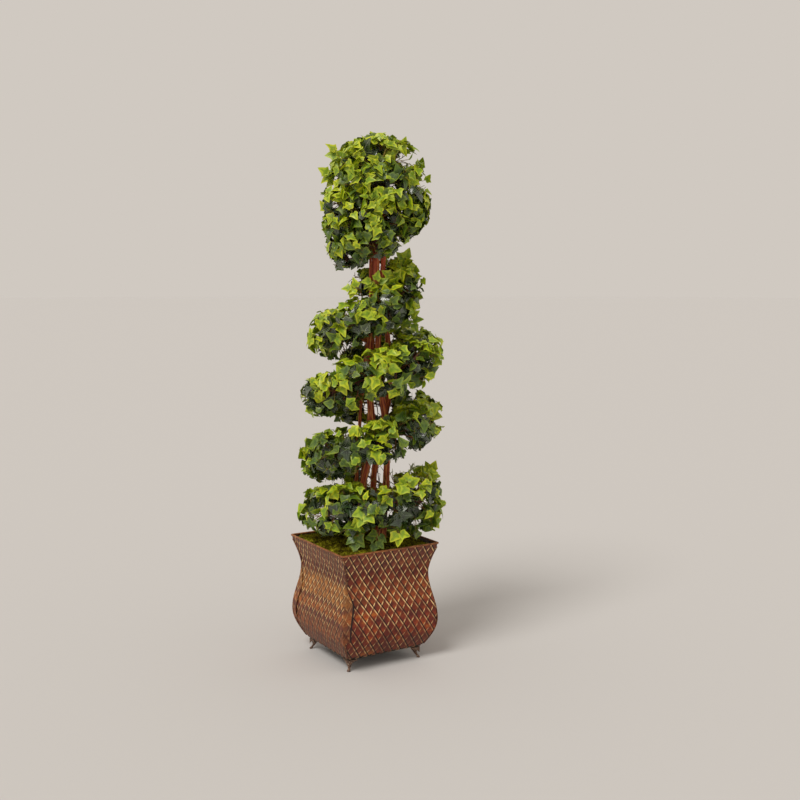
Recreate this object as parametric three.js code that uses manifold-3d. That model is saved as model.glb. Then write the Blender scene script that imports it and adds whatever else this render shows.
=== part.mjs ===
// Artificial ivy trained as a spiral on five woven stems, standing in a square planter of
// embossed sheet metal. Millimetres, +Z up. The planter's front face looks along -Y, and
// the origin is the middle of the whole plant's outline, on the ground.
import * as THREE from "three";
import { mergeVertices } from "three/addons/utils/BufferGeometryUtils.js";
import Module from "manifold-3d";

const wasm = await Module();
wasm.setup();

const { lerp, clamp, smoothstep, degToRad } = THREE.MathUtils;

// Driving dimensions
const TOTAL_HEIGHT = 1500;
const GAP = 0.3; // left between pieces that touch
const POT = {
  height: 344, // rim above the ground
  base: 33, // underside of the body above the ground
  bulge: 122, // height of the widest girth
  neck: 257, // height of the waist under the rim
  baseHalf: 121, // half sides at those heights
  bulgeHalf: 155.2,
  neckHalf: 135,
  rimHalf: 160,
  corner: 3,
  wall: 2.4,
  bead: 3, // radius of the rolled rim
  levels: 13,
};
// Each wall's sheet laps round the corner in a seam, and in a wider flap from `cut` up to `flapTop`
const LAP = {
  seam: 4,
  flap: 24,
  cut: 96,
  cutRun: 3,
  widest: 190,
  flapTop: 245,
  cutShare: 0.75, // of the flap's width, left at the cut
  thickness: 0.9,
  bottom: 42,
  top: 330,
};
const FOOT = {
  reach: 115, // from the planter's middle to a pad's, along each side
  plate: 34,
  plateThickness: 3,
  plateInset: 2,
  leg: [
    { z: 0, inset: 0, radius: 6.5 },
    { z: 4, inset: 0, radius: 5.5 },
    { z: 11, inset: 4, radius: 4 },
    { z: 20, inset: 7, radius: 6 },
    { z: 31.7, inset: 9, radius: 10.4 },
  ],
};
const FILL_TOP = 300;
const MOSS = {
  edge: 337,
  dome: 9,
  corner: 7,
  slope: 4, // down towards the spiral's start, at the walls
  lump: 3,
  widest: 328, // it keeps this height's width above it, clear of the rim's bead
  lumpWaves: { x: 17, y: 14, skew: 40 },
  clearance: 1.6,
  cells: 8,
};

// The spiral starts on the plant's own right-hand side, turned from the planter's +X
const START = degToRad(-31.5);
const LEAN = { low: 20, high: 45, from: 300, to: 900 }; // the stems' lean to that side
const CROWN_OFFSET = { low: 25, high: 40, from: 950, to: 1150 }; // and the crown's

const STEM_BOTTOM = 130;
const STEM_FREE_FROM = 321; // the stems run straight down from here
const STEM_SIDES = 6;
const STEM_STEP = 58;
const STEM_TWIST = 0.12; // turn of the section from one step to the next
const BUNDLE = { low: 40, high: 19, from: 680, to: 1080 }; // radius of the ring of stems
// Each stem circles the bundle about its own angle (degrees, seen from above) and sways
// by `sway` with a wave of its own, highest at `crest`
const STEMS = [
  { angle: -128, sway: 23, wave: 480, crest: 650, radius: 12.5, spread: 1, top: 1328 },
  { angle: -55, sway: 38, wave: 800, crest: 500, radius: 11.5, spread: 1, top: 1290 },
  { angle: 48, sway: 40, wave: 840, crest: 500, radius: 10.5, spread: 1, top: 1255 },
  { angle: 131, sway: 10, wave: 620, crest: 420, radius: 9.5, spread: 1, top: 1225 },
  { angle: 183, sway: 8, wave: 540, crest: 700, radius: 6.5, spread: 1.2, top: 1195 },
];
const STEM_TAPER = 0.56;
const ROOT_FLARE = { size: 1.25, from: 320, to: 450 };

const SPIRAL = {
  quarters: 16,
  firstAngle: -135, // degrees before the right-hand side
  start: 1043, // height of the band's middle as it passes the right-hand side
  pitch: 184,
  tilt: 16, // each turn sits this much higher on the right
  level: { rise: 40, from: 1080, to: 1260 }, // the last turn levels out over the moss
  innerRadius: 125,
  outerRadius: 210,
  widening: 360, // degrees over which the band grows to its outer radius
  halfHeight: 68,
  halfDepth: 66,
  squareness: 2.2, // of the section: 2 is an ellipse
  rimClearance: 2,
  mossClearance: 4,
  headClearance: 4,
};
// Where the clipped band rises by `lift` and is thicker by `grow`, near an angle of descent
const SWELLS = [
  { at: -110, span: 50, lift: -4, grow: -14 },
  { at: 15, span: 60, lift: 0, grow: 20 },
  { at: 150, span: 55, lift: -9, grow: 5 },
  { at: 455, span: 45, lift: 9, grow: 10 },
  { at: 545, span: 35, lift: 7, grow: -8 },
  { at: 875, span: 50, lift: 14, grow: 13 },
  { at: 1030, span: 58, lift: -70, grow: -14 },
  { at: 1095, span: 45, lift: -18, grow: 48 },
  { at: 1260, span: 60, lift: 0, grow: 12 },
];
const STEM_CLEARANCE = 22; // kept free of leaves round the ring of stems
const SPINE = { depth: 82.5, clearance: 28 }; // the band's middle, inside its reach
const HEAD = {
  bottom: 1112, // lowest point of its underside, which rises towards the spiral's start
  rise: { size: 21, from: -110, per: 100 },
  quarters: 4,
  waist: 1270,
  top: 1492,
  radius: 154,
  draw: 0.24, // share by which the outline draws in from the waist to the bottom
  crown: 3.7, // and how squarely it closes at the top
  split: 1338, // where the top piece starts
  hollow: 33,
  spine: 84,
  inset: 8,
  stalkFrom: 1215,
  stalkRise: 10,
  stalkRadius: 4,
};
const TOP = {
  spineLow: 2,
  spineHigh: 55,
  fan: 1.5,
  middle: 22,
  stalkInset: 6,
  stalkRadius: 3.5,
  leaderTurn: -1.2,
};
const SECTOR_EDGE = 0.5; // half the gap between neighbouring masses
// Shares are of the way from a mass's middle to its limit
const BAND_MASS = {
  leaves: 28,
  span: [0.03, 0.97],
  share: 0.68,
  ends: 0.9,
  rings: 4,
  facets: [0, 60, 120, 180, 240, 300],
  spread: [0.4, 1.3],
};
const HEAD_MASS = {
  leaves: 38,
  span: [0.02, 0.98],
  share: 0.74,
  ends: 0.96,
  rings: 4,
  facets: [0, 42, 78, 180, 282, 318],
  spread: [0.9, 1.7],
};
const TOP_MASS = {
  leaves: 40,
  span: [0.02, 1],
  share: 0.74,
  ends: 1,
  rings: 4,
  facets: [0, 45, 90, 135, 180, 225, 270, 315],
  spread: [0.8, 1.6],
};
const CORE_SPREAD = [0.9, 1.1];
const LEAF = {
  length: 62,
  width: 58,
  thickness: 2.8,
  widest: 0.38,
  sizes: [0.9, 1.15],
  smallest: 0.55,
  sunk: 4, // the root's depth under the core or the twig's tip
  coreShare: 0.8,
  jitter: 0.5,
  droop: 0.5,
  tilt: -0.6,
  lift: 0.4,
  perTwig: 8,
};
const TWIG = { base: 4, tip: 2.6, share: 0.62, past: 9, spread: 0.35, sides: 3 };
const GOLDEN_ANGLE = 2.39996;
const BOUGH = {
  radii: [6.5, 5.525, 4],
  sides: 6,
  arch: 3,
  drop: 14, // from the band's middle down to where the bough leaves its stem
  lowest: 365,
  inset: 46, // its tip ends this far before the band's middle
  stalkRadii: [3.6, 4],
};
const STALK_SIDES = 5;
const SEEDS = { band: 11, head: 41, top: 51 };
const RAY = { step: 1.5, longest: 400 };

const MATERIALS = {
  metal: { color: 0x6b3a22, roughness: 0.55, metalness: 0.5 },
  rim: { color: 0x9a5a2c, roughness: 0.5, metalness: 0.5 },
  foot: { color: 0x3a2417, roughness: 0.6, metalness: 0.5 },
  fill: { color: 0x4a4038, roughness: 0.95, metalness: 0 },
  moss: { color: 0x6f7a1c, roughness: 1, metalness: 0 },
  bark: { color: 0x7d3a20, roughness: 0.8, metalness: 0 },
  leaf: { color: 0x5f8f1f, roughness: 0.6, metalness: 0 },
};

/** Repeatable random numbers between 0 and 1. */
function seeded(seed) {
  let state = seed * 2654435761;
  return () => {
    state = (state + 0x6d2b79f5) | 0;
    let mixed = Math.imul(state ^ (state >>> 15), 1 | state);
    mixed = (mixed + Math.imul(mixed ^ (mixed >>> 7), 61 | mixed)) ^ mixed;
    return ((mixed ^ (mixed >>> 14)) >>> 0) / 4294967296;
  };
}

/** A vector from its distance, heading and height about the vertical. */
function polar(radius, heading, z = 0) {
  return new THREE.Vector3(radius * Math.cos(heading), radius * Math.sin(heading), z);
}

/** The vector of this size across the plant towards the spiral's start. */
function towardStart(size, z = 0) {
  return polar(size, START, z);
}

/** A closed geometry from points and faces, turned so that its faces look outward. */
function closedGeometry(points, faces) {
  let volume = 0;
  for (let i = 0; i < faces.length; i += 3) {
    const [a, b, c] = [points[faces[i]], points[faces[i + 1]], points[faces[i + 2]]];
    volume += a.dot(b.clone().cross(c));
  }
  const geometry = new THREE.BufferGeometry();
  geometry.setAttribute("position", new THREE.Float32BufferAttribute(points.flatMap((p) => p.toArray()), 3));
  geometry.setIndex(volume < 0 ? faces.reverse() : faces);
  return geometry;
}

/** A closed solid through rings of equal count, with flat or fanned ends. */
function loft(rings, { closed = false } = {}) {
  const count = rings[0].length;
  const points = rings.flat();
  const faces = [];
  const spans = closed ? rings.length : rings.length - 1;
  for (let level = 0; level < spans; level++) {
    const low = level * count;
    const high = ((level + 1) % rings.length) * count;
    for (let i = 0; i < count; i++) {
      const next = (i + 1) % count;
      faces.push(low + i, low + next, high + next, low + i, high + next, high + i);
    }
  }
  if (!closed) {
    const last = (rings.length - 1) * count;
    for (let i = 1; i < count - 1; i++) {
      faces.push(0, i + 1, i, last, last + i, last + i + 1);
    }
  }
  return closedGeometry(points, faces);
}

/** The manifold solid of a closed geometry. */
function toSolid(geometry) {
  const bare = geometry.clone();
  bare.deleteAttribute("normal");
  bare.deleteAttribute("uv");
  const merged = mergeVertices(bare, 1e-4);
  return new wasm.Manifold(
    new wasm.Mesh({
      numProp: 3,
      vertProperties: Float32Array.from(merged.attributes.position.array),
      triVerts: Uint32Array.from(merged.index.array),
    }),
  );
}

/** The geometry of a manifold solid. */
function toGeometry(solid) {
  const { vertProperties, triVerts } = solid.getMesh();
  const geometry = new THREE.BufferGeometry();
  geometry.setAttribute("position", new THREE.Float32BufferAttribute(vertProperties, 3));
  geometry.setIndex(Array.from(triVerts));
  return geometry;
}

/** The largest connected piece of a solid: loose scraps and sealed hollows go. */
function largestPiece(solid) {
  return solid.decompose().reduce((best, piece) => (piece.volume() > best.volume() ? piece : best));
}

const plant = new THREE.Group();

/** Adds a named mesh to the plant. */
function addMesh(name, geometry, look) {
  const shown = geometry.index ? geometry.toNonIndexed() : geometry;
  shown.computeVertexNormals();
  const mesh = new THREE.Mesh(shown, new THREE.MeshStandardMaterial(look));
  mesh.name = name;
  plant.add(mesh);
  return mesh;
}

// Planter

/** Half side of the planter's outer face at a height. */
function potHalf(z) {
  if (z < POT.bulge) {
    const t = (z - POT.base) / (POT.bulge - POT.base);
    return POT.baseHalf + (POT.bulgeHalf - POT.baseHalf) * Math.sin((t * Math.PI) / 2);
  }
  if (z < POT.neck) {
    const t = (z - POT.bulge) / (POT.neck - POT.bulge);
    return lerp(POT.bulgeHalf, POT.neckHalf, (1 - Math.cos(Math.PI * t)) / 2);
  }
  return POT.neckHalf + (POT.rimHalf - POT.neckHalf) * ((z - POT.neck) / (POT.height - POT.neck)) ** 1.5;
}

/** A square ring with rounded corners, anticlockwise from above. */
function squareRing(half, z, corner) {
  const ring = [];
  for (let quarter = 0; quarter < 4; quarter++) {
    const middle = polar((half - corner) * Math.SQRT2, ((quarter + 0.5) * Math.PI) / 2, z);
    for (const step of [0, 1, 2]) {
      ring.push(polar(corner, (quarter * Math.PI) / 2 + (step * Math.PI) / 4).add(middle));
    }
  }
  return ring;
}

const wallTop = POT.height - 2 * POT.bead - GAP;

/** Evenly spaced heights from one to the other. */
function heights(from, to, count) {
  return Array.from({ length: count + 1 }, (_, i) => lerp(from, to, i / count));
}

const wallLevels = heights(POT.base, wallTop, POT.levels);

/** The walls' own levels between two heights, with those heights at the ends. */
function levelsBetween(low, high) {
  const least = 2;
  return [low, ...wallLevels.filter((z) => z > low + least && z < high - least), high];
}

/** The embossed sheet body: four curved walls and a floor, open at the top. */
function planterShell() {
  const outer = wallLevels.map((z) => squareRing(potHalf(z), z, POT.corner));
  const inner = levelsBetween(POT.base + POT.wall, wallTop).map((z) =>
    squareRing(potHalf(z) - POT.wall, z, POT.corner - POT.wall / 2),
  );
  return loft([...outer, ...inner.reverse()]);
}

/** The rolled bead that closes the walls' upper edge. */
function planterRim() {
  const middle = potHalf(wallTop) - POT.wall / 2;
  const sides = 8;
  const rings = Array.from({ length: sides }, (_, i) => {
    const turn = (-i * 2 * Math.PI) / sides;
    const half = middle - POT.bead * Math.cos(turn);
    return squareRing(half, POT.height - POT.bead + POT.bead * Math.sin(turn), POT.corner);
  });
  return loft(rings, { closed: true });
}

/** Half side of the shell's faceted wall at a height. */
function wallHalf(z) {
  const above = Math.max(wallLevels.findIndex((level) => level >= z), 1);
  const [low, high] = [wallLevels[above - 1], wallLevels[above]];
  return lerp(potHalf(low), potHalf(high), (z - low) / (high - low));
}

/** Width of a corner lap at a height: a narrow seam, and the flap over part of it. */
function lapWidth(z) {
  const rise = smoothstep(z, LAP.cut, LAP.cut + LAP.cutRun);
  const belly = lerp(LAP.cutShare, 1, smoothstep(z, LAP.cut, LAP.widest));
  const fall = 1 - smoothstep(z, LAP.widest, LAP.flapTop);
  return LAP.seam + LAP.flap * rise * belly * fall;
}

/** The edge of one wall's sheet, lapped round the corner on to the next wall. */
function cornerLap() {
  const levels = [...levelsBetween(LAP.bottom, LAP.cut), ...levelsBetween(LAP.cut + LAP.cutRun, LAP.top)];
  const rings = levels.map((z) => {
    const face = wallHalf(z) + GAP;
    const inner = -wallHalf(z) + POT.corner;
    const outer = inner + lapWidth(z);
    return [
      new THREE.Vector3(inner, -face, z),
      new THREE.Vector3(inner, -face - LAP.thickness, z),
      new THREE.Vector3(outer, -face - LAP.thickness, z),
      new THREE.Vector3(outer, -face, z),
    ];
  });
  return loft(rings);
}

/** One cast foot: a corner plate, a curved leg and a round pad, for the +X +Y corner. */
function foot() {
  const corner = POT.baseHalf - FOOT.plateInset;
  const under = POT.base - GAP;
  const plate = [under - FOOT.plateThickness, under].map((z) => [
    new THREE.Vector3(corner, corner, z),
    new THREE.Vector3(corner - FOOT.plate, corner, z),
    new THREE.Vector3(corner, corner - FOOT.plate, z),
  ]);
  const leg = FOOT.leg.map(({ z, inset, radius }) => {
    const middle = new THREE.Vector3(FOOT.reach - inset, FOOT.reach - inset, z);
    return Array.from({ length: 8 }, (_, i) => polar(radius, (i * Math.PI) / 4).add(middle));
  });
  return toGeometry(toSolid(loft(plate)).add(toSolid(loft(leg))));
}

// Stems

/** How far the stems' bundle leans towards the spiral's start at a height. */
function bundleLean(z) {
  return lerp(LEAN.low, LEAN.high, smoothstep(z, LEAN.from, LEAN.to));
}

/** Centre of a stem at a height. */
function stemPoint(stem, z) {
  const free = Math.max(z, STEM_FREE_FROM);
  const sway = stem.sway * Math.cos((2 * Math.PI * (free - stem.crest)) / stem.wave);
  const ring = lerp(BUNDLE.low, BUNDLE.high, smoothstep(z, BUNDLE.from, BUNDLE.to)) * stem.spread;
  return polar(ring, START + degToRad(stem.angle + sway)).add(towardStart(bundleLean(z), z));
}

/** Radius of a stem at a height: a straight taper above a flared foot. */
function stemRadius(stem, z) {
  const taper = lerp(1, STEM_TAPER, (z - STEM_BOTTOM) / (stem.top - STEM_BOTTOM));
  return stem.radius * taper * lerp(ROOT_FLARE.size, 1, smoothstep(z, ROOT_FLARE.from, ROOT_FLARE.to));
}

/** A stem's geometry, grown all round by `extra` for clearance cuts. */
function stemGeometry(stem, extra = 0) {
  const steps = Math.round((stem.top - STEM_BOTTOM) / STEM_STEP);
  const rings = heights(STEM_BOTTOM - extra, stem.top + extra, steps).map((z, level) => {
    const middle = stemPoint(stem, z);
    return Array.from({ length: STEM_SIDES }, (_, i) => {
      const heading = (i * 2 * Math.PI) / STEM_SIDES + level * STEM_TWIST;
      return polar(stemRadius(stem, z) + extra, heading).add(middle);
    });
  });
  return loft(rings);
}

/** Height of the moss over a point of the planter's mouth. */
function mossHeight(x, y) {
  const across = Math.abs(x) / POT.rimHalf;
  const along = Math.abs(y) / POT.rimHalf;
  const dome = MOSS.dome * Math.max(0, 1 - across ** 2) * Math.max(0, 1 - along ** 2);
  const waves = MOSS.lumpWaves;
  const lump = MOSS.lump * Math.sin(x / waves.x) * Math.cos(y / waves.y + x / waves.skew);
  const slope = (MOSS.slope * (x * Math.cos(START) + y * Math.sin(START))) / POT.rimHalf;
  return MOSS.edge + dome + lump - slope - MOSS.corner * (across * along) ** 2;
}

/** The moss: a lumpy mound on the filling, clear of the walls. */
function mossMound() {
  const cells = MOSS.cells;
  const sheet = (level) =>
    Array.from({ length: cells + 1 }, (_, row) =>
      Array.from({ length: cells + 1 }, (_, column) => {
        const u = (2 * column) / cells - 1;
        const v = (2 * row) / cells - 1;
        const z = level ?? mossHeight(u * POT.rimHalf, v * POT.rimHalf);
        const half = potHalf(Math.min(z, MOSS.widest)) - POT.wall - MOSS.clearance;
        return new THREE.Vector3(u * half, v * half, z);
      }),
    );
  const top = sheet(null);
  const bottom = sheet(FILL_TOP + GAP);
  const points = [...top.flat(), ...bottom.flat()];
  const offset = (cells + 1) ** 2;
  const at = (row, column) => row * (cells + 1) + column;
  const faces = [];
  for (let row = 0; row < cells; row++) {
    for (let column = 0; column < cells; column++) {
      const [a, b] = [at(row, column), at(row, column + 1)];
      const [c, d] = [at(row + 1, column + 1), at(row + 1, column)];
      faces.push(a, b, c, a, c, d, offset + a, offset + c, offset + b, offset + a, offset + d, offset + c);
    }
  }
  const side = (a, b) => faces.push(a, offset + a, offset + b, a, offset + b, b);
  for (let i = 0; i < cells; i++) {
    side(at(0, i), at(0, i + 1));
    side(at(i, cells), at(i + 1, cells));
    side(at(cells, i + 1), at(cells, i));
    side(at(i + 1, 0), at(i, 0));
  }
  return closedGeometry(points, faces);
}

/** The block that holds the stems inside the planter. */
function filling() {
  const clearance = POT.wall + 2 * GAP;
  const levels = levelsBetween(POT.base + POT.wall + GAP, FILL_TOP);
  return loft(levels.map((z) => squareRing(potHalf(z) - clearance, z, POT.corner)));
}

// Crown

/** The line that the spiral and the head are set about. */
function crownAxis(z) {
  const { low, high, from, to } = CROWN_OFFSET;
  return towardStart(lerp(low, high, smoothstep(z, from, to)), z);
}

/** The sum of the swells' own `lift` or `grow` at an angle of descent. */
function swelling(kind, angle) {
  const share = (swell) => Math.exp(-(((angle - swell.at) / swell.span) ** 2));
  return SWELLS.reduce((sum, swell) => sum + swell[kind] * share(swell), 0);
}

/** Height of the middle of the spiral band at an angle of descent. */
function bandHeight(angle) {
  const { rise, from, to } = SPIRAL.level;
  const steady = SPIRAL.start - (SPIRAL.pitch * angle) / 360 + SPIRAL.tilt * Math.cos(degToRad(angle));
  return steady + rise * smoothstep(angle, from, to) + swelling("lift", angle);
}

/** Outer radius of the spiral band, which widens over its first turn. */
function bandReach(angle) {
  return lerp(SPIRAL.innerRadius, SPIRAL.outerRadius, smoothstep(angle, SPIRAL.firstAngle, SPIRAL.widening));
}

/** Half the height of the spiral band. */
function bandHalfHeight(angle) {
  return SPIRAL.halfHeight + swelling("grow", angle);
}

/** Radius round the crown's line that the stems keep for themselves. */
function stemRoom(z) {
  return lerp(BUNDLE.low, BUNDLE.high, smoothstep(z, BUNDLE.from, BUNDLE.to)) + STEM_CLEARANCE;
}

/** Middle of the band's section at an angle of descent. */
function bandPoint(angle) {
  const z = bandHeight(angle);
  const middle = Math.max(bandReach(angle) - SPINE.depth, stemRoom(z) + SPINE.clearance);
  return polar(middle, START - degToRad(angle)).add(crownAxis(z));
}

/**
 * A point's distance from the crown's line, its angle of descent near `middle`, and its
 * distance inside the quarter about `middle`.
 */
function inSector(point, middle) {
  const out = point.clone().sub(crownAxis(point.z));
  const radius = Math.hypot(out.x, out.y);
  let away = THREE.MathUtils.radToDeg(START - Math.atan2(out.y, out.x)) - middle;
  away -= 360 * Math.round(away / 360);
  return { radius, angle: middle + away, edge: radius * Math.sin(degToRad(45 - Math.abs(away))) };
}

/** Height of the head's underside over a point. */
function headUnderside(point) {
  const { size, from, per } = HEAD.rise;
  const aside = point.clone().sub(crownAxis(point.z)).dot(towardStart(1));
  return HEAD.bottom + size * (Math.max(aside - from, 0) / per) ** 2;
}

/** Whether a point is in the room of the spiral's quarter from `from` degrees on. */
function insideQuarter(point, from) {
  const { radius, angle, edge } = inSector(point, from + 45);
  const deep = (radius - (bandReach(angle) - SPIRAL.halfDepth)) / SPIRAL.halfDepth;
  const high = (point.z - bandHeight(angle)) / bandHalfHeight(angle);
  const outward = Math.max(deep, 0) ** SPIRAL.squareness + Math.abs(high) ** SPIRAL.squareness;
  const pastNeck = Math.max(Math.abs(point.x), Math.abs(point.y)) > POT.neckHalf;
  const floor = mossHeight(point.x, point.y) + SPIRAL.mossClearance;
  return (
    edge > SECTOR_EDGE &&
    outward < 1 &&
    radius > stemRoom(point.z) &&
    point.z < headUnderside(point) - SPIRAL.headClearance &&
    point.z > (pastNeck ? Math.max(POT.height + SPIRAL.rimClearance, floor) : floor)
  );
}

/** Radius of the head's outline at a height. */
function headRadius(z) {
  if (z < HEAD.waist) {
    const t = (HEAD.waist - z) / (HEAD.waist - HEAD.bottom);
    return HEAD.radius * (1 - HEAD.draw * t * t);
  }
  const t = clamp((z - HEAD.waist) / (HEAD.top - HEAD.waist), 0, 1);
  return HEAD.radius * Math.sqrt(1 - t ** HEAD.crown);
}

/** Whether a point is in the room of a quarter of the head. */
function insideHead(point, quarter) {
  const { radius, edge } = inSector(point, quarter * 90);
  return (
    edge > SECTOR_EDGE &&
    radius > HEAD.hollow &&
    radius < headRadius(point.z) &&
    point.z > headUnderside(point) &&
    point.z < HEAD.split - SECTOR_EDGE
  );
}

/** Whether a point is in the room of the head's top. */
function insideTop(point) {
  const out = point.clone().sub(crownAxis(point.z));
  const level = point.z > HEAD.split + SECTOR_EDGE && point.z < HEAD.top;
  return level && Math.hypot(out.x, out.y) < headRadius(point.z);
}

/** How far a ray runs inside a room, to the nearest step. */
function reachIn(inside, from, direction) {
  let reach = 0;
  const past = () => from.clone().addScaledVector(direction, reach + RAY.step);
  while (reach < RAY.longest && inside(past())) reach += RAY.step;
  return reach;
}

/** A closed tapering rod along points, with three or more sides. */
function rod(points, radii, sides) {
  const rings = points.map((point, i) => {
    const next = points[Math.min(i + 1, points.length - 1)];
    const along = next.clone().sub(points[Math.max(i - 1, 0)]).normalize();
    const aside = Math.abs(along.z) < 0.9 ? new THREE.Vector3(0, 0, 1) : new THREE.Vector3(1, 0, 0);
    const across = new THREE.Vector3().crossVectors(along, aside).normalize();
    const up = new THREE.Vector3().crossVectors(along, across);
    return Array.from({ length: sides }, (_, k) => {
      const turn = (k * 2 * Math.PI) / sides;
      return point
        .clone()
        .addScaledVector(across, radii[i] * Math.cos(turn))
        .addScaledVector(up, radii[i] * Math.sin(turn));
    });
  });
  return loft(rings);
}

/** A leaf of eight faces: a kite with a rib, thick in the middle. */
function leafGeometry(root, along, face, size) {
  const across = new THREE.Vector3().crossVectors(along, face).normalize();
  const normal = new THREE.Vector3().crossVectors(across, along).normalize();
  const at = (u, v, w) =>
    root
      .clone()
      .addScaledVector(along, u * LEAF.length * size)
      .addScaledVector(across, v * LEAF.width * size)
      .addScaledVector(normal, w * LEAF.thickness * size);
  const points = [
    at(0, 0, 0),
    at(LEAF.widest, 0.5, -1.2),
    at(1, 0, -1.8),
    at(LEAF.widest, -0.5, -1.2),
    at(LEAF.widest, 0, 0.5),
    at(LEAF.widest, 0, -0.5),
  ];
  const faces = [];
  for (let i = 0; i < 4; i++) {
    const next = (i + 1) % 4;
    faces.push(i, next, 5, next, i, 4);
  }
  return { geometry: closedGeometry(points, faces), points };
}

/**
 * One mass of foliage: a small core along its spine that leaves stand out of, and twigs
 * that leave the spine and carry a leaf each. What would leave the room, or touch a limb
 * or an earlier leaf, is skipped. `outwardAt` gives the direction out of the spine at a
 * place along it and a turn about it, and `alongAt` the spine's own direction.
 */
function foliageMass(kind, { seed, spine, outwardAt, alongAt, inside, stalk, limbs }) {
  const random = seeded(seed);
  const coreRing = (t, size) => {
    const middle = spine(t);
    return kind.facets.map((facet) => {
      const outward = outwardAt(t, degToRad(facet));
      const reach = reachIn(inside, middle, outward) * size * lerp(...CORE_SPREAD, random());
      return middle.clone().addScaledVector(outward, reach);
    });
  };
  const rings = heights(...kind.span, kind.rings).map((t, i) =>
    coreRing(t, i === 0 || i === kind.rings ? kind.share * kind.ends : kind.share),
  );
  const parts = [toSolid(loft(rings)), stalk];
  let blades = null;
  for (let i = 0; i < kind.leaves; i++) {
    const t = lerp(...kind.span, (i + random()) / kind.leaves);
    const start = spine(t);
    const outward = outwardAt(t, i * GOLDEN_ANGLE + LEAF.jitter * (random() - 0.5));
    const reach = reachIn(inside, start, outward);
    const onTwig = i % LEAF.perTwig === 0;
    const share = onTwig ? TWIG.share : kind.share * LEAF.coreShare;
    const root = start.clone().addScaledVector(outward, reach * share - LEAF.sunk);
    const tangent = new THREE.Vector3().crossVectors(outward, alongAt(t)).normalize();
    tangent.applyAxisAngle(outward, random() * 2 * Math.PI);
    tangent.add(new THREE.Vector3(0, 0, -LEAF.droop)).normalize();
    const spread = onTwig ? TWIG.spread : lerp(...kind.spread, random());
    const along = outward.clone().addScaledVector(tangent, spread).normalize();
    const size = Math.min((reachIn(inside, root, along) - 1) / LEAF.length, lerp(...LEAF.sizes, random()));
    if (size < LEAF.smallest) continue;
    const face = outward.clone().addScaledVector(tangent, LEAF.tilt).add(new THREE.Vector3(0, 0, LEAF.lift));
    const { geometry, points } = leafGeometry(root, along, face, size);
    const blade = toSolid(geometry);
    const touches = (other) => other !== null && !blade.intersect(other).isEmpty();
    if (!points.slice(1).every(inside) || touches(limbs) || touches(blades)) continue;
    if (onTwig) {
      const tip = root.clone().addScaledVector(outward, TWIG.past);
      const twig = toSolid(rod([start, tip], [TWIG.base, TWIG.tip], TWIG.sides));
      if (!twig.intersect(limbs).isEmpty()) continue;
      parts.push(twig);
    }
    parts.push(blade);
    blades = blades ? blades.add(blade) : blade;
  }
  return largestPiece(wasm.Manifold.union(parts).subtract(limbs));
}

// Assembly

addMesh("planter_shell", planterShell(), MATERIALS.metal);
addMesh("planter_rim", planterRim(), MATERIALS.rim);
for (let corner = 0; corner < 4; corner++) {
  const lap = addMesh(`planter_corner_lap_${corner + 1}`, cornerLap(), MATERIALS.metal);
  lap.rotation.z = (corner * Math.PI) / 2;
  const leg = addMesh(`planter_foot_${corner + 1}`, foot(), MATERIALS.foot);
  leg.rotation.z = (corner * Math.PI) / 2;
}

const stemSolids = STEMS.map((stem) => toSolid(stemGeometry(stem)));
const stemRooms = wasm.Manifold.union(STEMS.map((stem) => toSolid(stemGeometry(stem, GAP))));
STEMS.forEach((_, i) => addMesh(`trunk_stem_${i + 1}`, toGeometry(stemSolids[i]), MATERIALS.bark));
addMesh("planter_filling", toGeometry(toSolid(filling()).subtract(stemRooms)), MATERIALS.fill);
addMesh("moss", toGeometry(toSolid(mossMound()).subtract(stemRooms)), MATERIALS.moss);

/** The stem whose centre lies nearest to a heading from the bundle's middle. */
function nearestStem(z, heading) {
  const margin = 15;
  const turned = (stem) => {
    const out = stemPoint(stem, z).sub(towardStart(bundleLean(z), z));
    return Math.cos(Math.atan2(out.y, out.x) - heading);
  };
  const tall = STEMS.filter((stem) => stem.top > z + margin);
  return tall.reduce((best, stem) => (turned(stem) > turned(best) ? stem : best));
}

/** A slightly arched limb from a stem's centre to a point. */
function limb(from, to, radii, sides) {
  const bend = from.clone().lerp(to, 0.5).add(new THREE.Vector3(0, 0, BOUGH.arch));
  return toSolid(rod([from, bend, to], radii, sides));
}

/** The bough of the spiral's quarter from `from` degrees on, its room and the mass's stalk. */
function boughSolids(from) {
  const middle = bandPoint(from + 45);
  const heading = START - degToRad(from + 45);
  const z = Math.max(middle.z - BOUGH.drop, BOUGH.lowest);
  const root = stemPoint(nearestStem(z, heading), z);
  const toMiddle = middle.clone().sub(root).normalize();
  const reach = reachIn((p) => insideQuarter(p, from), middle, toMiddle.clone().negate());
  const tip = middle.clone().addScaledVector(toMiddle, -Math.min(reach - 2, BOUGH.inset));
  const past = tip.clone().addScaledVector(toMiddle, GAP);
  const grown = BOUGH.radii.map((radius) => radius + GAP);
  return {
    bough: largestPiece(limb(root, tip, BOUGH.radii, BOUGH.sides).subtract(stemRooms)),
    room: limb(root, past, grown, BOUGH.sides),
    stalk: toSolid(rod([tip, middle], BOUGH.stalkRadii, STALK_SIDES)),
  };
}

const quarterStarts = Array.from({ length: SPIRAL.quarters }, (_, i) => SPIRAL.firstAngle + i * 90);
const branches = quarterStarts.map(boughSolids);
const limbs = wasm.Manifold.union([stemRooms, ...branches.map(({ room }) => room)]);

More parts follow.
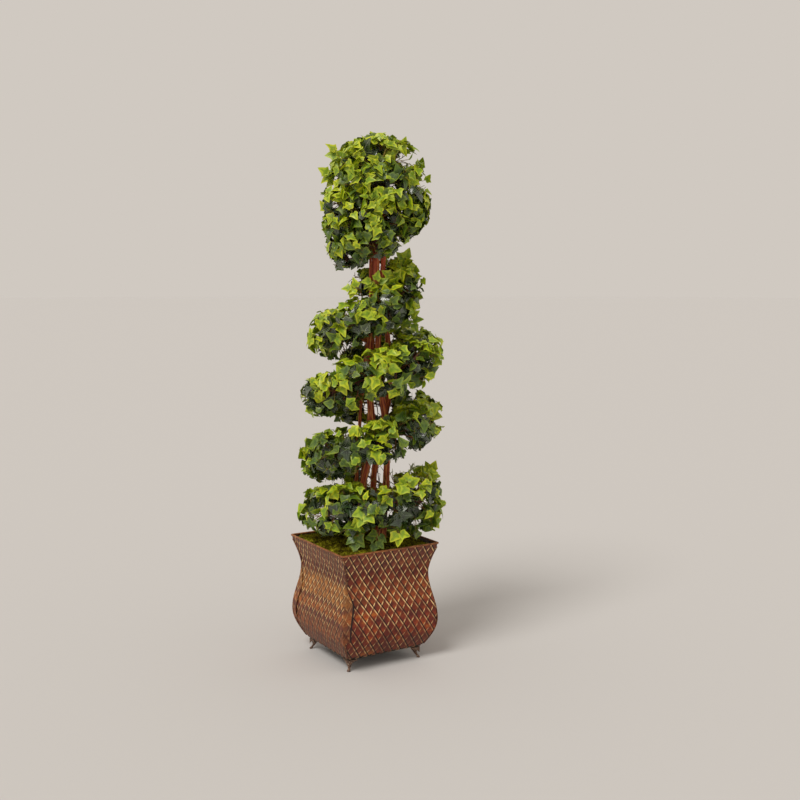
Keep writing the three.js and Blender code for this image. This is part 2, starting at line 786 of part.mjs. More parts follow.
quarterStarts.forEach((from, i) => {
  const label = `turn_${Math.floor(i / 4) + 1}_quarter_${(i % 4) + 1}`;
  const headingAt = (t) => START - degToRad(from + 90 * t);
  const mass = foliageMass(BAND_MASS, {
    seed: SEEDS.band + i,
    spine: (t) => bandPoint(from + 90 * t),
    outwardAt: (t, turn) => polar(Math.cos(turn), headingAt(t), Math.sin(turn)),
    alongAt: (t) => polar(1, headingAt(t) - Math.PI / 2),
    inside: (p) => insideQuarter(p, from),
    stalk: branches[i].stalk,
    limbs,
  });
  addMesh(`bough_${label}`, toGeometry(branches[i].bough), MATERIALS.bark);
  addMesh(`foliage_${label}`, toGeometry(mass), MATERIALS.leaf);
});

const upward = () => new THREE.Vector3(0, 0, 1);

for (let quarter = 0; quarter < HEAD.quarters; quarter++) {
  const heading = START - degToRad(quarter * 90);
  const axis = (z) => crownAxis(z).add(polar(HEAD.spine, heading));
  const bottom = headUnderside(axis(HEAD.waist));
  const z = HEAD.stalkFrom;
  const radii = Array(3).fill(HEAD.stalkRadius);
  const mass = foliageMass(HEAD_MASS, {
    seed: SEEDS.head + quarter,
    spine: (t) => axis(lerp(bottom + HEAD.inset, HEAD.split - HEAD.inset, t)),
    outwardAt: (t, turn) => polar(1, heading - turn),
    alongAt: upward,
    inside: (p) => insideHead(p, quarter),
    stalk: limb(stemPoint(nearestStem(z, heading), z), axis(z + HEAD.stalkRise), radii, STALK_SIDES),
    limbs,
  });
  addMesh(`foliage_head_quarter_${quarter + 1}`, toGeometry(mass), MATERIALS.leaf);
}

/** The head's top: a cap above the tallest stem, ending in one upright leaf. */
function headTop() {
  const middle = crownAxis(HEAD.split + TOP.middle);
  const tallest = STEMS[0];
  const radii = Array(3).fill(TOP.stalkRadius);
  const mass = foliageMass(TOP_MASS, {
    seed: SEEDS.top,
    spine: (t) => crownAxis(lerp(HEAD.split + TOP.spineLow, HEAD.top - TOP.spineHigh, t)),
    outwardAt: (t, turn) => polar(1, START - turn, TOP.fan * t * t).normalize(),
    alongAt: upward,
    inside: insideTop,
    stalk: limb(stemPoint(tallest, tallest.top - TOP.stalkInset), middle, radii, STALK_SIDES),
    limbs,
  });
  const leaderRoot = crownAxis(TOTAL_HEIGHT - LEAF.length);
  const leaderFace = towardStart(1).applyAxisAngle(upward(), TOP.leaderTurn);
  const leader = leafGeometry(leaderRoot, upward(), leaderFace, 1);
  const leaderTip = leaderRoot.clone().add(new THREE.Vector3(0, 0, TWIG.past));
  const twig = rod([middle, leaderTip], [TWIG.base, TWIG.tip], TWIG.sides);
  return largestPiece(wasm.Manifold.union([mass, toSolid(leader.geometry), toSolid(twig)]));
}
addMesh("foliage_head_top", toGeometry(headTop()), MATERIALS.leaf);

// The origin goes under the middle of the whole outline
plant.updateMatrixWorld(true);
const outline = new THREE.Box3().setFromObject(plant, true);
const outlineMiddle = outline.getCenter(new THREE.Vector3());
plant.position.set(-outlineMiddle.x, -outlineMiddle.y, 0);

export default plant;
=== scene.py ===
"""Artificial ivy trained as a spiral on five woven stems, in a square planter of embossed metal.

Sizes are millimetres from the middle of the planter, +Z up, until a mesh is made. The
planter's front face looks along -Y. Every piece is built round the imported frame.
"""

import logging
import math
import random
from dataclasses import dataclass, field
from enum import Enum
from typing import Callable, Iterable, Sequence

import bmesh
import bpy
import numpy as np
from mathutils import Matrix, Vector, noise


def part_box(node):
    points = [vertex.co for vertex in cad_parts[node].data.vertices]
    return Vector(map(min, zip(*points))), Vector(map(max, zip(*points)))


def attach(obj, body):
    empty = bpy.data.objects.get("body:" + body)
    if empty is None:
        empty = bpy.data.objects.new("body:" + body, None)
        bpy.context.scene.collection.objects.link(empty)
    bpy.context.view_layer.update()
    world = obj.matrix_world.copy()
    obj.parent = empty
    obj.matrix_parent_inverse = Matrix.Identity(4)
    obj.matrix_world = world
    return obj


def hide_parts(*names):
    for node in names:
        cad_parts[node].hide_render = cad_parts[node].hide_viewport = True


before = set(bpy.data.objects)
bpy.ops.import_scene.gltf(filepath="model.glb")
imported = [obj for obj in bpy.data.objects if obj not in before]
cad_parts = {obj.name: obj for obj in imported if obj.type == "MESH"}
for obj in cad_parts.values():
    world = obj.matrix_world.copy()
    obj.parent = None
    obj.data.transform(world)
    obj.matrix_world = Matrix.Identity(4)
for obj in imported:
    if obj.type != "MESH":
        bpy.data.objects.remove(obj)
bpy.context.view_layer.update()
log = logging.getLogger("topiary")

MM = 0.001
BODY = "root"
UP = Vector((0, 0, 1))
START = math.radians(-31.5)  # heading of the spiral's start, turned from +X
GOLDEN_ANGLE = 2.39996
GAP = 0.3

Socket = bpy.types.NodeSocket
Material = bpy.types.Material
Piece = bpy.types.Object
Value = float | tuple | Socket
Pair = tuple[float, float]
Triple = tuple[float, float, float]


def lerp(low: float, high: float, share: float) -> float:
    """The value a share of the way from one to the other."""
    return low + (high - low) * share


def smoothstep(value: float, low: float, high: float) -> float:
    """A smooth rise from 0 to 1 as the value goes from low to high."""
    share = min(max((value - low) / (high - low), 0), 1)
    return share * share * (3 - 2 * share)


def polar(radius: float, heading: float, z: float = 0) -> Vector:
    """A vector from its distance, heading and height about the vertical."""
    return Vector((radius * math.cos(heading), radius * math.sin(heading), z))


def srgb(red: int, green: int, blue: int) -> tuple[float, float, float, float]:
    """A shader colour in linear light, from screen values of 0 to 255.

    Args:
        red: Red.
        green: Green.
        blue: Blue.

    Returns:
        The colour, with alpha 1.
    """
    def linear(value: float) -> float:
        """One channel in linear light."""
        return value / 12.92 if value <= 0.04045 else ((value + 0.055) / 1.055) ** 2.4

    return (*(linear(value / 255) for value in (red, green, blue)), 1.0)


def plan_shift() -> Vector:
    """Where the planter's middle stands in the frame, in metres."""
    low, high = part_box("planter_shell")
    return Vector(((low.x + high.x) / 2, (low.y + high.y) / 2, 0))


SHIFT = plan_shift()


class Nodes:
    """A new material's nodes, with short ways to add and join them."""

    def __init__(self, name: str) -> None:
        """Starts a material with a plain principled shader."""
        self.material = bpy.data.materials.new(name)
        self.material.use_nodes = True
        self.tree = self.material.node_tree
        self.shader = self.tree.nodes["Principled BSDF"]

    def put(self, socket: Socket, value: Value) -> None:
        """Joins or sets one input."""
        if isinstance(value, Socket):
            self.tree.links.new(value, socket)
        else:
            socket.default_value = value

    def math(self, operation: str, *values: Value) -> Socket:
        """The result of a Math node.

        Args:
            operation: The node's operation.
            values: Its inputs.

        Returns:
            Its output.
        """
        node = self.tree.nodes.new("ShaderNodeMath")
        node.operation = operation
        for socket, value in zip(node.inputs, values):
            self.put(socket, value)
        return node.outputs[0]

    def add(self, *values: Value) -> Socket:
        """The sum of the values."""
        total = values[0]
        for value in values[1:]:
            total = self.math("ADD", total, value)
        return total

    def times(self, *values: Value) -> Socket:
        """The product of the values."""
        product = values[0]
        for value in values[1:]:
            product = self.math("MULTIPLY", product, value)
        return product

    def step(self, value: Value, low: float, high: float) -> Socket:
        """A smooth rise from 0 at low to 1 at high, or a fall where low is above high.

        Args:
            value: What it is read by.
            low: Where it is 0.
            high: Where it is 1.

        Returns:
            The rise.
        """
        node = self.tree.nodes.new("ShaderNodeMapRange")
        node.interpolation_type = "SMOOTHSTEP"
        for name, setting in (("Value", value), ("From Min", low), ("From Max", high)):
            self.put(node.inputs[name], setting)
        return node.outputs["Result"]

    def near(self, value: Value, middle: float, half: float, soft: float) -> Socket:
        """1 where the value is within `half` of the middle, falling to 0 over `soft` more."""
        away = self.math("ABSOLUTE", self.math("SUBTRACT", value, middle))
        return self.step(away, half + soft, half)

    def mix(self, share: Value, first: Value, second: Value, blend: str = "MIX") -> Socket:
        """The second colour laid on the first by a share, in the way that `blend` names.

        Args:
            share: The share.
            first: The colour below.
            second: The colour on top.
            blend: The way.

        Returns:
            The colour.
        """
        node = self.tree.nodes.new("ShaderNodeMix")
        node.data_type = "RGBA"
        node.blend_type = blend
        for index, value in ((0, share), (6, first), (7, second)):
            self.put(node.inputs[index], value)
        return node.outputs[2]

    def place(self, scale: Triple = (1, 1, 1)) -> Socket:
        """The object coordinates, in metres times the scale."""
        return self.stretch(self.tree.nodes.new("ShaderNodeTexCoord").outputs["Object"], scale)

    def stretch(self, vector: Socket, scale: Triple) -> Socket:
        """A vector scaled along each axis.

        Args:
            vector: The vector.
            scale: Its factors.

        Returns:
            The scaled vector.
        """
        node = self.tree.nodes.new("ShaderNodeMapping")
        self.put(node.inputs["Vector"], vector)
        self.put(node.inputs["Scale"], scale)
        return node.outputs[0]

    def attribute(self, name: str, output: str = "Fac") -> Socket:
        """A mesh attribute's value.

        Args:
            name: The attribute's name.
            output: Which of its outputs.

        Returns:
            The output.
        """
        node = self.tree.nodes.new("ShaderNodeAttribute")
        node.attribute_name = name
        return node.outputs[output]

    def axes(self, vector: Socket) -> list[Socket]:
        """The three parts of a vector."""
        node = self.tree.nodes.new("ShaderNodeSeparateXYZ")
        self.put(node.inputs[0], vector)
        return list(node.outputs)

    def noise(self, vector: Socket, scale: float, detail: float = 3,
              roughness: float = 0.55) -> Socket:
        """Noise between 0 and 1.

        Args:
            vector: Where the noise is read.
            scale: Patches for each unit of the vector.
            detail: Finer layers on top.
            roughness: How strong the finer layers are.

        Returns:
            The noise's socket.
        """
        node = self.tree.nodes.new("ShaderNodeTexNoise")
        settings = {"Vector": vector, "Scale": scale, "Detail": detail, "Roughness": roughness}
        for name, value in settings.items():
            self.put(node.inputs[name], value)
        return node.outputs["Fac"]

    def ramp(self, value: Value, *stops: tuple[float, tuple]) -> Socket:
        """A colour read off a run of stops, each a place and a colour.

        Args:
            value: What it is read by.
            stops: The places and colours.

        Returns:
            The colour.
        """
        node = self.tree.nodes.new("ShaderNodeValToRGB")
        self.put(node.inputs[0], value)
        elements = node.color_ramp.elements
        while len(elements) < len(stops):
            elements.new(0.5)
        for element, (place, colour) in zip(elements, stops):
            element.position = place
            element.color = colour
        return node.outputs[0]

    def finish(self, bump: Value | None = None, depth: float = 0.001, **inputs: Value) -> Material:
        """Sets the shader's inputs.

        Args:
            bump: Height of the surface, or None for a smooth one.
            depth: The height's scale, in metres.
            **inputs: The shader's inputs, with _ for a space in their names.

        Returns:
            The material.
        """
        for name, value in inputs.items():
            self.put(self.shader.inputs[name.replace("_", " ")], value)
        if bump is not None:
            node = self.tree.nodes.new("ShaderNodeBump")
            self.put(node.inputs["Height"], bump)
            self.put(node.inputs["Distance"], depth)
            self.put(self.shader.inputs["Normal"], node.outputs[0])
        return self.material


# Finishes


@dataclass(frozen=True)
class LeafFinish:
    """Moulded ivy leaf: a satin blade with a lighter margin and veins."""

    name: str
    blade: tuple
    deep: tuple
    margin: tuple
    vein: tuple
    margin_share: float
    vein_share: float
    roughness: float = 0.5
    gloss: float = 0.3
    ray_slopes: Pair = (0.45, -0.14)
    vein_half: float = 0.04
    ribs: float = 34.0
    patch_scale: float = 60
    relief: float = 0.0007
    casts: tuple = ((0, srgb(196, 208, 210)), (0.5, srgb(236, 236, 232)), (1, srgb(255, 244, 220)))

    def material(self) -> Material:
        """The leaf's material, on the place in the blade that each point keeps.

        Returns:
            The material.
        """
        nodes = Nodes(self.name)
        across, along, tint = nodes.axes(nodes.attribute("leaf", "Vector"))
        side = nodes.math("ABSOLUTE", across)
        nearest = side
        for slope in self.ray_slopes:
            off = nodes.math("SUBTRACT", nodes.times(side, slope), along)
            nearest = nodes.math("MINIMUM", nearest, nodes.math("ABSOLUTE", off))
        forward = nodes.math("SUBTRACT", along, side)
        ribs = nodes.step(nodes.math("SINE", nodes.times(forward, self.ribs)), 0.7, 1.0)
        rays = nodes.step(nearest, self.vein_half, self.vein_half / 4)
        vein = nodes.math("MAXIMUM", rays, nodes.times(ribs, 0.3))
        patches = nodes.noise(nodes.place(), self.patch_scale, 2)
        rim = nodes.attribute("rim")
        inner = nodes.step(nodes.add(nodes.times(rim, 0.55), nodes.times(patches, 0.9)), 0.85, 0.45)
        colour = nodes.mix(inner, self.blade, self.deep)
        edge = nodes.step(nodes.add(rim, nodes.times(patches, 0.3)), 0.75, 1.15)
        colour = nodes.mix(nodes.times(edge, self.margin_share), colour, self.margin)
        colour = nodes.mix(nodes.times(vein, self.vein_share), colour, self.vein)
        colour = nodes.mix(1.0, colour, nodes.ramp(tint, *self.casts), "MULTIPLY")
        height = nodes.math("SUBTRACT", nodes.times(patches, 0.5), vein)
        return nodes.finish(height, self.relief, Base_Color=colour, Roughness=self.roughness,
                            Specular_IOR_Level=self.gloss)


@dataclass(frozen=True)
class BarkFinish:
    """Red-brown fluted bark with orange streaks, painted shade in the flutes' hollows and painted light on
    their ridges, redder near the head.
    """

    name: str = "red_bark"
    red_from: float = 1.02
    red_to: float = 1.16
    red: tuple = srgb(206, 88, 62)
    fleck: tuple = srgb(226, 160, 96)
    relief: float = 0.0014
    tones: tuple = ((0.12, srgb(70, 26, 24)), (0.3, srgb(136, 56, 40)), (0.46, srgb(184, 88, 54)),
                    (0.62, srgb(212, 120, 68)), (0.82, srgb(238, 176, 100)))

    def material(self) -> Material:
        """The bark's material, on the grain that runs along each limb.

        Returns:
            The material.
        """
        nodes = Nodes(self.name)
        grain = nodes.attribute("grain", "Vector")
        streaks = nodes.noise(nodes.stretch(grain, (9, 9, 7)), 1.0, 4, 0.6)
        flecks = nodes.noise(nodes.stretch(grain, (26, 26, 24)), 1.0, 3, 0.6)
        # painted shade and light: the flutes' hollows darker and their ridges lighter, by the relief's height
        tone = nodes.add(streaks, nodes.times(nodes.attribute("flute"), 0.24))
        colour = nodes.ramp(tone, *self.tones)
        colour = nodes.mix(nodes.times(nodes.step(flecks, 0.6, 0.76), 0.8), colour, self.fleck)
        high = nodes.step(nodes.axes(nodes.place())[2], self.red_from, self.red_to)
        colour = nodes.mix(nodes.times(high, 0.6), colour, self.red)
        height = nodes.add(streaks, nodes.times(flecks, 0.4))
        return nodes.finish(height, self.relief, Base_Color=colour, Roughness=0.6, Specular_IOR_Level=0.3)


@dataclass(frozen=True)
class TwigFinish:
    """Moulded twig: red-brown near the wood and green towards the leaves."""

    name: str = "ivy_twig"
    tones: tuple = ((0.2, srgb(92, 46, 34)), (0.55, srgb(128, 80, 42)), (0.95, srgb(128, 128, 36)))

    def material(self) -> Material:
        """The twig's material, by how far out on the spray each point is."""
        nodes = Nodes(self.name)
        patches = nodes.noise(nodes.place(), 90, 2)
        place = nodes.add(nodes.attribute("out"), nodes.times(patches, 0.4))
        return nodes.finish(patches, 0.0004, Base_Color=nodes.ramp(place, *self.tones), Roughness=0.5)


@dataclass(frozen=True)
class Band:
    """A level band of the patina, and how strong it is on the front and side walls."""

    height: float
    half: float
    soft: float
    colour: tuple
    front: float
    side: float


@dataclass(frozen=True)
class EmbossedFinish:
    """Embossed sheet metal: red-brown diamonds between buff ridges, with painted highlights and shadows.

    The ridges' buff colour is partly rubbed metal and partly painted highlight along each diamond's
    lower edges. A painted shadow line runs beside one family of ridges and a fainter one beside the
    other, and each diamond is painted darker towards its upper part as painted shade. The lattice's
    own map counts cells. The family with the stronger shadow line falls to the right across the front
    and back walls, and to the left across the others. Places and widths of lines are shares of a
    cell. A golden sheet is a lapped edge, with fainter lines and a painted shadow along its free edge.
    """

    name: str = "embossed_metal"
    golden: bool = False
    ridge_at: float = -0.11
    ridge_half: float = 0.035
    cross_half: float = 0.04
    groove_at: float = 0.05
    groove_half: float = 0.045
    cross_shadow_at: float = 0.12
    cross_shadow_half: float = 0.02
    soft: float = 0.05
    # buff of the ridges: partly rubbed metal, partly painted highlight
    tan_wear_and_highlight: tuple = srgb(236, 196, 136)
    # painted shade laid over each diamond's upper part
    shade: tuple = srgb(66, 20, 18)
    # painted shadow line beside the rising ridges
    cross_shadow: tuple = srgb(40, 18, 16)
    # painted shadow line beside the falling ridges
    groove_shadow: tuple = srgb(20, 9, 9)
    trim: tuple = srgb(186, 160, 112)
    trim_top: float = 0.041
    # painted shadow along a lapped flap's free edge
    edge: tuple = srgb(30, 15, 13)
    gold: tuple = (srgb(92, 44, 26), srgb(178, 118, 66))
    tones: tuple = ((0.37, srgb(84, 24, 18)), (0.48, srgb(124, 42, 22)), (0.57, srgb(158, 66, 28)),
                    (0.67, srgb(214, 126, 46)))
    bands: tuple[Band, ...] = (
        Band(0.330, 0.036, 0.022, srgb(110, 76, 60), 0.5, 0.6),
        Band(0.264, 0.014, 0.018, srgb(70, 34, 30), 0.4, 0.6),
        Band(0.216, 0.020, 0.026, srgb(186, 132, 64), 0.14, 0.45),
        Band(0.183, 0.003, 0.007, srgb(74, 38, 40), 0.2, 0.6),
        Band(0.161, 0.010, 0.014, srgb(170, 104, 46), 0.1, 0.4),
        Band(0.142, 0.004, 0.008, srgb(70, 38, 44), 0.2, 0.6),
        Band(0.125, 0.008, 0.012, srgb(112, 70, 48), 0.1, 0.5),
        Band(0.094, 0.012, 0.014, srgb(142, 80, 44), 0.1, 0.4),
        Band(0.074, 0.005, 0.014, srgb(56, 30, 30), 0.45, 0.35),
        Band(0.045, 0.016, 0.016, srgb(98, 62, 48), 0.5, 0.5),
    )

    def material(self) -> Material:
        """The sheet's material, on the lattice's own map.

        Returns:
            The material.
        """
        nodes = Nodes(self.name)
        node = nodes.tree.nodes.new("ShaderNodeUVMap")
        node.uv_map = "lattice"
        u, v, _ = nodes.axes(node.outputs[0])
        x, y, height = nodes.axes(nodes.place())
        aside: Value = 1.0
        if not self.golden:
            across = [nodes.math("ABSOLUTE", nodes.math("SUBTRACT", value, middle))
                      for value, middle in ((x, SHIFT.x), (y, SHIFT.y))]
            aside = nodes.step(nodes.math("SUBTRACT", *across), -0.001, 0.001)
        mottle = nodes.noise(nodes.place(), 85, 4, 0.65)
        streak = nodes.noise(nodes.place((1, 1, 0.3)), 170, 3, 0.6)
        fill = self.patina(nodes, mottle, height, aside)
        u = nodes.times(u, nodes.math("SUBTRACT", 1.0, nodes.times(aside, 2.0)))
        down, up = nodes.add(u, v), nodes.math("SUBTRACT", u, v)
        falling, rising = (nodes.math("SUBTRACT", total, nodes.math("ROUND", total)) for total in (down, up))
        # painted shade: each diamond darker towards its upper part, as if under the ridge above it
        rise = nodes.math("SUBTRACT", nodes.math("FRACT", down), nodes.math("FRACT", up))
        fill = nodes.mix(nodes.times(nodes.step(rise, -0.5, 0.5), 0.5), fill, self.shade)
        rub_and_highlight = nodes.step(nodes.add(nodes.times(mottle, 0.7), nodes.times(streak, 0.4)), 0.42, 0.66)
        # painted highlights: the arms of each diamond's lower V are painted brighter
        left_arm_highlight = nodes.step(nodes.math("FRACT", up), 0.15, 0.6)
        right_arm_highlight = nodes.step(nodes.math("FRACT", down), 0.95, 0.55)
        right_arm_highlight = nodes.times(right_arm_highlight, nodes.step(falling, -0.1, 0.0))
        ridge = nodes.times(nodes.near(falling, self.ridge_at, self.ridge_half, self.soft),
                            nodes.add(0.12, nodes.times(rub_and_highlight, 0.26), nodes.times(left_arm_highlight, 0.72)))
        cross = nodes.times(nodes.near(rising, 0.0, self.cross_half, self.soft),
                            nodes.add(0.05, nodes.times(rub_and_highlight, 0.22), nodes.times(right_arm_highlight, 0.9)))
        # painted shadow line beside each falling ridge
        groove_shadow = nodes.times(nodes.near(falling, self.groove_at, self.groove_half, self.soft),
                             nodes.add(0.6, nodes.times(streak, 0.6)))
        # fainter painted shadow line beside each rising ridge
        cross_shadow = nodes.times(nodes.near(rising, self.cross_shadow_at, self.cross_shadow_half, self.soft), 0.6)
        patchy = nodes.step(nodes.noise(nodes.place(), 26, 2), 0.36, 0.6)
        patchy = nodes.add(0.35, nodes.times(patchy, 0.65))
        low = nodes.add(0.5, nodes.times(nodes.step(height, 0.09, 0.19), 0.75))
        turned = nodes.add(1.0, nodes.times(aside, -0.35))
        strength = nodes.times(patchy, low, 0.6 if self.golden else 1.0, turned)
        colour = nodes.mix(nodes.times(cross_shadow, strength), fill, self.cross_shadow)
        tan_wear_and_highlight = nodes.math("MINIMUM", nodes.times(nodes.add(ridge, cross), strength), 1.0)
        colour = nodes.mix(tan_wear_and_highlight, colour, self.tan_wear_and_highlight)
        colour = nodes.mix(nodes.times(groove_shadow, 0.4 if self.golden else 1.0), colour, self.groove_shadow)
        trim = nodes.step(height, self.trim_top, self.trim_top - 0.005)
        trim = nodes.times(trim, nodes.step(mottle, 0.36, 0.6))
        colour = nodes.mix(nodes.times(trim, 0.75), colour, self.trim)
        # painted shadow along a lap's lifted free edge, by the share across it
        colour = nodes.mix(nodes.step(nodes.attribute("fringe"), 0.78, 0.88), colour, self.edge)
        return nodes.finish(nodes.add(mottle, nodes.times(streak, 0.5)), 0.0008, Base_Color=colour,
                            Roughness=nodes.add(0.44, nodes.times(mottle, 0.25)), Metallic=0.15,
                            Specular_IOR_Level=0.4)

    def patina(self, nodes: Nodes, mottle: Value, height: Value, aside: Value) -> Socket:
        """The diamonds' own colour, in level bands that waver.

        Args:
            nodes: The material's nodes.
            mottle: Noise finer than a diamond.
            height: Height in metres.
            aside: 1 on the side walls and 0 on the front and back ones.

        Returns:
            The colour's socket.
        """
        broad = nodes.noise(nodes.place((1, 1, 1.5)), 15, 3)
        tone = nodes.add(nodes.times(broad, 0.55), nodes.times(mottle, 0.45))
        fleck = nodes.step(mottle, 0.34, 0.62)
        gold = nodes.mix(fleck, *self.gold)
        fill = nodes.mix(nodes.times(aside, 0.55), nodes.ramp(tone, *self.tones), gold)
        level = nodes.add(height, nodes.times(nodes.math("SUBTRACT", broad, 0.5), 0.035))
        for band in self.bands:
            share = nodes.add(band.front, nodes.times(aside, band.side - band.front))
            share = nodes.times(share, nodes.add(0.55, nodes.times(fleck, 0.6)))
            share = nodes.times(share, nodes.near(level, band.height, band.half, band.soft))
            fill = nodes.mix(share, fill, band.colour)
        return fill


@dataclass(frozen=True)
class MetalFinish:
    """Plain metal with a patina: two colours in patches, and a lighter one over them in small patches, partly
    rubbed metal and partly painted highlight.
    """

    name: str
    base: tuple
    other: tuple
    rub_and_highlight: tuple
    rub_and_highlight_level: float = 0.6
    scale: float = 90
    metallic: float = 0.2
    relief: float = 0.0006

    def material(self) -> Material:
        """The metal's material, on the object's own coordinates."""
        nodes = Nodes(self.name)
        patches = nodes.noise(nodes.place(), self.scale, 4, 0.6)
        rub_and_highlight_noise = nodes.noise(nodes.place(), self.scale * 3, 3, 0.6)
        colour = nodes.mix(nodes.step(patches, 0.35, 0.65), self.base, self.other)
        # lighter patches: rubbed metal, and on the cast feet painted highlights too
        colour = nodes.mix(nodes.times(nodes.step(rub_and_highlight_noise, self.rub_and_highlight_level, self.rub_and_highlight_level + 0.16), 0.8), colour, self.rub_and_highlight)
        return nodes.finish(rub_and_highlight_noise, self.relief, Base_Color=colour, Roughness=0.55, Metallic=self.metallic)


INNER_METAL = MetalFinish("inner_metal", srgb(40, 26, 20), srgb(60, 40, 28), srgb(84, 58, 40), rub_and_highlight_level=0.66,
                          metallic=0)
ROLLED_METAL = MetalFinish("rolled_metal", srgb(158, 98, 50), srgb(112, 62, 34), srgb(206, 160, 100),
                           rub_and_highlight_level=0.56)
# the near-white patches on the feet are partly rubbed metal and partly painted highlight
CAST_METAL = MetalFinish("cast_metal", srgb(66, 42, 32), srgb(104, 68, 48), srgb(206, 194, 168),
                         rub_and_highlight_level=0.53, scale=140)


@dataclass(frozen=True)
class MossFinish:
    """Dyed moss: olive and yellow-green clumps with brown between them."""

    name: str = "dyed_moss"
    clump_scale: float = 48
    grain_scale: float = 240
    relief: float = 0.003
    tones: tuple = ((0.38, srgb(48, 32, 10)), (0.46, srgb(92, 80, 14)), (0.54, srgb(126, 124, 20)),
                    (0.66, srgb(188, 178, 46)))

    def material(self) -> Material:
        """The moss's material, on the object's own coordinates."""
        nodes = Nodes(self.name)
        clumps = nodes.noise(nodes.place(), self.clump_scale, 3, 0.6)
        grains = nodes.noise(nodes.place(), self.grain_scale, 3, 0.65)
        tone = nodes.add(nodes.times(clumps, 0.62), nodes.times(grains, 0.38))
        return nodes.finish(grains, self.relief, Base_Color=nodes.ramp(tone, *self.tones), Roughness=0.95,
                            Specular_IOR_Level=0.1)


@dataclass(frozen=True)
class PlainFinish:
    """A matte finish of one colour with faint patches."""

    name: str
    colour: tuple
    roughness: float = 0.8
    variation: float = 0.12
    scale: float = 3

    def material(self) -> Material:
        """The finish's material, on the object's own coordinates."""
        nodes = Nodes(self.name)
        patches = nodes.noise(nodes.place(), self.scale, 3)
        dark = tuple(channel * (1 - self.variation) for channel in self.colour[:3]) + (1.0,)
        return nodes.finish(Base_Color=nodes.mix(patches, dark, self.colour), Roughness=self.roughness,
                            Specular_IOR_Level=0.1)


PACKED_FILLING = PlainFinish("packed_filling", srgb(74, 64, 54), 0.95, 0.5, 60)
PALE_FLOOR = PlainFinish("pale_floor", srgb(198, 196, 194), 0.9, 0)


class LeafKind(Enum):
    """Ages of leaf, each with a colour of its own."""

    YOUNG = "ivy_leaves_young"
    GREEN = "ivy_leaves_green"
    OLD = "ivy_leaves_old"


LEAF_FINISHES = {
    LeafKind.YOUNG: LeafFinish(
        "young_ivy_leaf", blade=srgb(190, 208, 26), deep=srgb(132, 166, 20), margin=srgb(222, 222, 60),
        vein=srgb(202, 212, 80), margin_share=0.35, vein_share=0.3, roughness=0.4, gloss=0.5),
    LeafKind.GREEN: LeafFinish(
        "green_ivy_leaf", blade=srgb(108, 136, 24), deep=srgb(66, 96, 22), margin=srgb(150, 170, 40),
        vein=srgb(150, 168, 80), margin_share=0.35, vein_share=0.4, roughness=0.36, gloss=0.55),
    LeafKind.OLD: LeafFinish(
        "old_ivy_leaf", blade=srgb(56, 76, 34), deep=srgb(38, 54, 30), margin=srgb(82, 98, 44),
        vein=srgb(146, 162, 134), margin_share=0.3, vein_share=0.6, roughness=0.26, gloss=0.9),
}


# Making pieces


def deselect() -> None:
    """Leaves nothing selected."""
    if bpy.context.mode != "OBJECT":
        bpy.ops.object.mode_set(mode="OBJECT")
    bpy.ops.object.select_all(action="DESELECT")


def choose(*objects: Piece) -> None:
    """Selects these objects alone, the first one active.

    Args:
        objects: The objects.
    """
    deselect()
    for piece in objects:
        piece.select_set(True)
    bpy.context.view_layer.objects.active = objects[0]


def edit_all() -> None:
    """Opens the active piece's mesh for editing, with all of it selected."""
    bpy.ops.object.mode_set(mode="EDIT")
    bpy.ops.mesh.select_all(action="SELECT")


def close_up() -> None:
    """Turns all faces of the edited mesh outward, and ends the editing."""
    bpy.ops.mesh.select_all(action="SELECT")
    bpy.ops.mesh.normals_make_consistent(inside=False)
    bpy.ops.object.mode_set(mode="OBJECT")


def pick(piece: Piece, kind: str, wanted: Callable[..., bool]) -> None:
    """Selects parts of an edited mesh.

    Args:
        piece: The piece.
        kind: Which parts, "EDGE" or "FACE".
        wanted: Whether a part is selected.
    """
    bpy.ops.mesh.select_mode(type=kind)
    bpy.ops.mesh.select_all(action="DESELECT")
    shell = bmesh.from_edit_mesh(piece.data)
    for part in shell.edges if kind == "EDGE" else shell.faces:
        part.select_set(wanted(part))
    bmesh.update_edit_mesh(piece.data)


def move_picked(piece: Piece, place: Callable[[Vector], Vector]) -> None:
    """Moves each selected point of an edited mesh to where `place` puts it."""
    shell = bmesh.from_edit_mesh(piece.data)
    for point in shell.verts:
        if point.select:
            point.co = place(point.co)
    bmesh.update_edit_mesh(piece.data)


def stand(piece: Piece, name: str, slot: str, nodes: Iterable[str], *materials: Material) -> None:
    """Names and dresses a finished piece, and puts it in the place of CAD nodes.

    Args:
        piece: The piece, with its place in its mesh.
        name: The piece's name.
        slot: The record's material slot; not used.
        nodes: The CAD nodes that it stands for.
        *materials: Its materials in order.
    """
    piece.name = piece.data.name = name
    piece.data.materials.clear()
    for material in materials:
        piece.data.materials.append(material)
    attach(piece, BODY)
    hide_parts(*nodes)
    log.info("%s: %d faces", name, len(piece.data.polygons))


def to_frame(piece: Piece) -> None:
    """Moves a piece's mesh from the planter's middle to its place in the frame."""
    piece.data.transform(Matrix.Translation(SHIFT))
    piece.data.update()


def smooth(piece: Piece, degrees: float) -> None:
    """Shades a piece smooth, but for edges sharper than an angle."""
    choose(piece)
    bpy.ops.object.shade_smooth_by_angle(angle=math.radians(degrees))


def round_off(piece: Piece) -> None:
    """Rounds a piece with one level of subdivision."""
    rounding = piece.modifiers.new("rounding", "SUBSURF")
    rounding.levels = rounding.render_levels = 1
    bpy.ops.object.modifier_apply(modifier=rounding.name)


